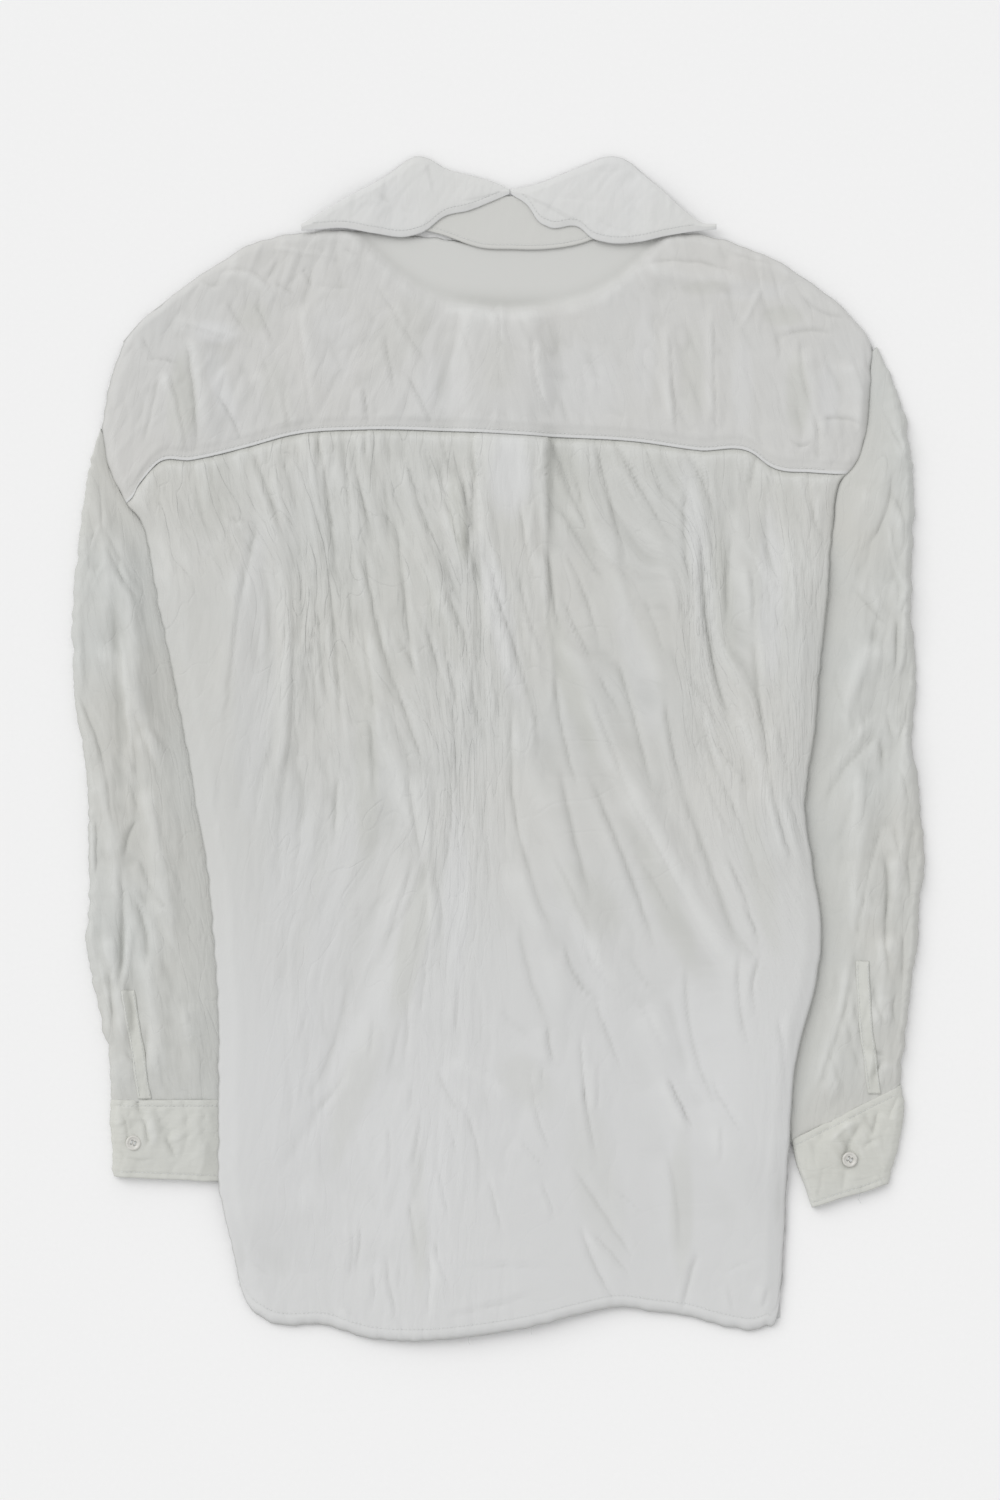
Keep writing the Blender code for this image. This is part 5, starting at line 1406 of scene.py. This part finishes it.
def buttonTemplate():
    work = bmesh.new()
    verts = [work.verts.new((p.across * mm, 0, p.up * mm)) for p in buttonProfile]
    edges = [work.edges.new(pair) for pair in zip(verts, verts[1:])]
    bmesh.ops.spin(
        work, geom=verts + edges, cent=(0, 0, 0), axis=(0, 0, 1), angle=2 * np.pi,
        steps=buttonShape["segments"], use_merge=True, use_duplicate=False,
    )
    bmesh.ops.remove_doubles(work, verts=work.verts, dist=1e-6)
    bmesh.ops.recalc_face_normals(work, faces=work.faces)
    disc = addObject("disc", meshFrom(work, "disc"))

    work = bmesh.new()
    for turn in range(4):
        angle = np.pi / 4 + turn * np.pi / 2
        spot = Vector((np.cos(angle), np.sin(angle), 0)) * buttonShape["holeOut"] * mm
        bmesh.ops.create_cone(
            work, cap_ends=True, segments=16, radius1=buttonShape["hole"] * mm,
            radius2=buttonShape["hole"] * mm, depth=8 * mm, matrix=Matrix.Translation(spot),
        )
    holes = addObject("holes", meshFrom(work, "holes"))
    cut = disc.modifiers.new("holes", "BOOLEAN")
    cut.object = holes
    cut.operation = "DIFFERENCE"
    bpy.context.view_layer.update()
    made = bpy.data.meshes.new_from_object(disc.evaluated_get(bpy.context.evaluated_depsgraph_get()))
    bpy.data.objects.remove(disc)
    bpy.data.objects.remove(holes)
    return made


def threadBars():
    # two bars of thread from hole to hole, on the button's face
    work = bmesh.new()
    for side in (-1, 1):
        out = buttonShape["holeOut"] * np.cos(np.pi / 4)
        for strand in (-0.26, 0.26):
            made = bmesh.ops.create_uvsphere(work, u_segments=10, v_segments=6, radius=1.0)["verts"]
            bmesh.ops.scale(work, verts=made, vec=Vector((1.75, 0.3, 0.55)) * mm)
            bmesh.ops.translate(work, verts=made, vec=Vector((0, side * out + strand, 1.45)) * mm)
    return meshFrom(work, "threadBars")


def makeButton(name, x, y, low, faceUp, node):
    work = bmesh.new()
    work.from_mesh(discMesh)
    for face in work.faces:
        face.material_index = 0
    count = len(work.faces)
    work.from_mesh(barMesh)
    work.faces.ensure_lookup_table()
    for face in work.faces[count:]:
        face.material_index = 1
    turn = Matrix.Rotation(0.6 + 0.9 * y / 100, 4, "Z")
    if not faceUp:
        turn = Matrix.Translation((0, 0, buttonShape["high"] * mm)) @ Matrix.Rotation(np.pi, 4, "X") @ turn
    bmesh.ops.transform(work, verts=work.verts, matrix=Matrix.Translation(Vector((x, y, low)) * mm) @ turn)
    data = meshFrom(work, name)
    data.materials.append(buttonShell)
    data.materials.append(sewingThread)
    data.shade_smooth()
    data.set_sharp_from_angle(angle=np.radians(38))
    return finishPiece(addObject(name, data), "button_shell", node)


discMesh = buttonTemplate()
barMesh = threadBars()
frontButtons = [f"button_front_{number}" for number in range(1, 8)]
for name in ("button_cuff_left", "button_cuff_right", *frontButtons):
    low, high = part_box(name)
    centre = (low + high) / 2 / mm
    makeButton(name + "_shell", centre.x, centre.y, low.z / mm, "cuff" in name, name)
print("buttons made")


# Sewing

stitch = {"long": 2.1, "pitch": 3.0, "thick": 0.6, "sunk": 0.12}
fineStitch = {**stitch, "long": 1.9, "pitch": 2.6}


def stitchRow(work, surface, route, kind=stitch):
    # small thread capsules along a route, each lying along the cloth under it
    points = np.array(route, float)
    lengths = np.concatenate([[0], np.cumsum(np.hypot(*np.diff(points, axis=0).T))])
    pitch, long = kind["pitch"], kind["long"]
    for along in np.arange(pitch / 2, lengths[-1], pitch):
        ends = []
        for offset in (-long / 2, long / 2):
            x = np.interp(along + offset, lengths, points[:, 0])
            y = np.interp(along + offset, lengths, points[:, 1])
            high, _ = topOf(surface, x, y)
            if high is not None:
                ends.append(Vector((x, y, high + stitch["thick"] / 2 - stitch["sunk"])))
        if len(ends) < 2 or abs(ends[0].z - ends[1].z) > 1.6:
            continue
        made = bmesh.ops.create_uvsphere(work, u_segments=6, v_segments=4, radius=0.5)["verts"]
        run = ends[1] - ends[0]
        size = Matrix.Diagonal((stitch["thick"], stitch["thick"], run.length, 1))
        turn = run.to_track_quat("Z", "Y").to_matrix().to_4x4()
        place = Matrix.Translation((ends[0] + ends[1]) / 2 * mm) @ turn @ Matrix.Scale(mm, 4) @ size
        bmesh.ops.transform(work, verts=made, matrix=place)


def looseEnd(work, points):
    # a short frayed thread
    for first, second in zip(points, points[1:]):
        run = Vector(second) - Vector(first)
        tube = bmesh.ops.create_cone(
            work, cap_ends=True, segments=6, radius1=0.22, radius2=0.18, depth=run.length * 1.08
        )["verts"]
        turn = run.to_track_quat("Z", "Y").to_matrix().to_4x4()
        middle = (Vector(first) + Vector(second)) / 2
        bmesh.ops.transform(
            work, verts=tube, matrix=Matrix.Translation(middle * mm) @ turn @ Matrix.Scale(mm, 4)
        )


def finishStitches(name, work, slot):
    data = meshFrom(work, name)
    data.materials.append(sewingThread)
    data.shade_smooth()
    return finishPiece(addObject(name, data), slot)


def sewYoke():
    work = bmesh.new()
    surface = topSurface(yoke)
    across = np.linspace(-252, 236, 160)
    stitchRow(work, surface, [(x, readCurve(yokeSeam, x) + yokeCloth["stitch"]) for x in across])
    return finishStitches("yoke_stitching", work, "body_cloth")


def sewHem():
    work = bmesh.new()
    surface = topSurface(back)
    across = np.linspace(-178, 196, 140)
    stitchRow(work, surface, [(x, readCurve(hem, x) + backCloth["stitch"]) for x in across])
    for x, lean in ((-22.0, 1.4), (23.4, 0.6)):
        edge = float(readCurve(hem, x))
        high, _ = topOf(surface, x, edge + 0.6)
        start = (x, edge + 0.6, high - 0.2)
        looseEnd(work, [start, (x + 0.4, edge - 1.6, high - 0.9), (x + 0.2 * lean, edge - 3.6, high - 1.5),
                        (x + lean, edge - 5.4, high - 2.0)])
    return finishStitches("hem_stitching", work, "body_cloth")


def sewCuffs():
    work = bmesh.new()
    for obj, sections, side in ((leftCuff, cuffLeft, -1), (rightCuff, cuffRight, 1)):
        surface = topSurface(obj)
        for station in cuffCloth["stitched"]:
            ends = sectionEnds(sections, station)
            outer, inner = np.array(ends[:2]), np.array(ends[2:])
            route = [tuple(lerp(outer, inner, t)) for t in np.linspace(0.06, 0.98, 50)]
            stitchRow(work, surface, route)
    surface = topSurface(rightCuff)
    high, _ = topOf(surface, 259, -318)
    looseEnd(work, [(259, -318, high), (260.5, -322, high - 1.2), (259.8, -325.5, high - 2.4),
                    (261.5, -328, high - 3.0)])
    return finishStitches("cuff_stitching", work, "sleeve_cloth")


def sewCollar():
    work = bmesh.new()
    for obj, upper, lower in ((leftWing, wingLeftTop, wingLeftLow), (rightWing, wingRightTop, wingRightLow)):
        surface = topSurface(obj)
        first, last = sorted((lower[0].across, lower[-1].across))
        across = np.linspace(first + 6, last - 6, 90)
        across = [x for x in across if readCurve(upper, x) - readCurve(lower, x) > 9]
        route = [(x, readCurve(lower, x) + collarLeaf["stitch"]) for x in across]
        stitchRow(work, surface, route, fineStitch)
    surface = topSurface(stand)
    across = np.linspace(-56, 78, 70)
    stitchRow(work, surface, [(x, readCurve(standLow, x) + standStrip["stitch"]) for x in across], fineStitch)
    return finishStitches("collar_stitching", work, "collar_cloth")


def sewPlackets():
    work = bmesh.new()
    for obj, route in ((leftPlacket, routeLeft), (rightPlacket, routeRight)):
        surface = topSurface(obj)
        heights = np.linspace(route[0].up - 2, route[-1].up + 2, 40)
        for side in (-placketStrip["stitch"], placketStrip["stitch"]):
            line = [(acrossRoute(route, up) + side, up) for up in heights]
            stitchRow(work, surface, line, fineStitch)
    return finishStitches("placket_stitching", work, "sleeve_cloth")


sewYoke()
sewHem()
sewCuffs()
sewCollar()
sewPlackets()
print("sewing made")

low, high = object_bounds()
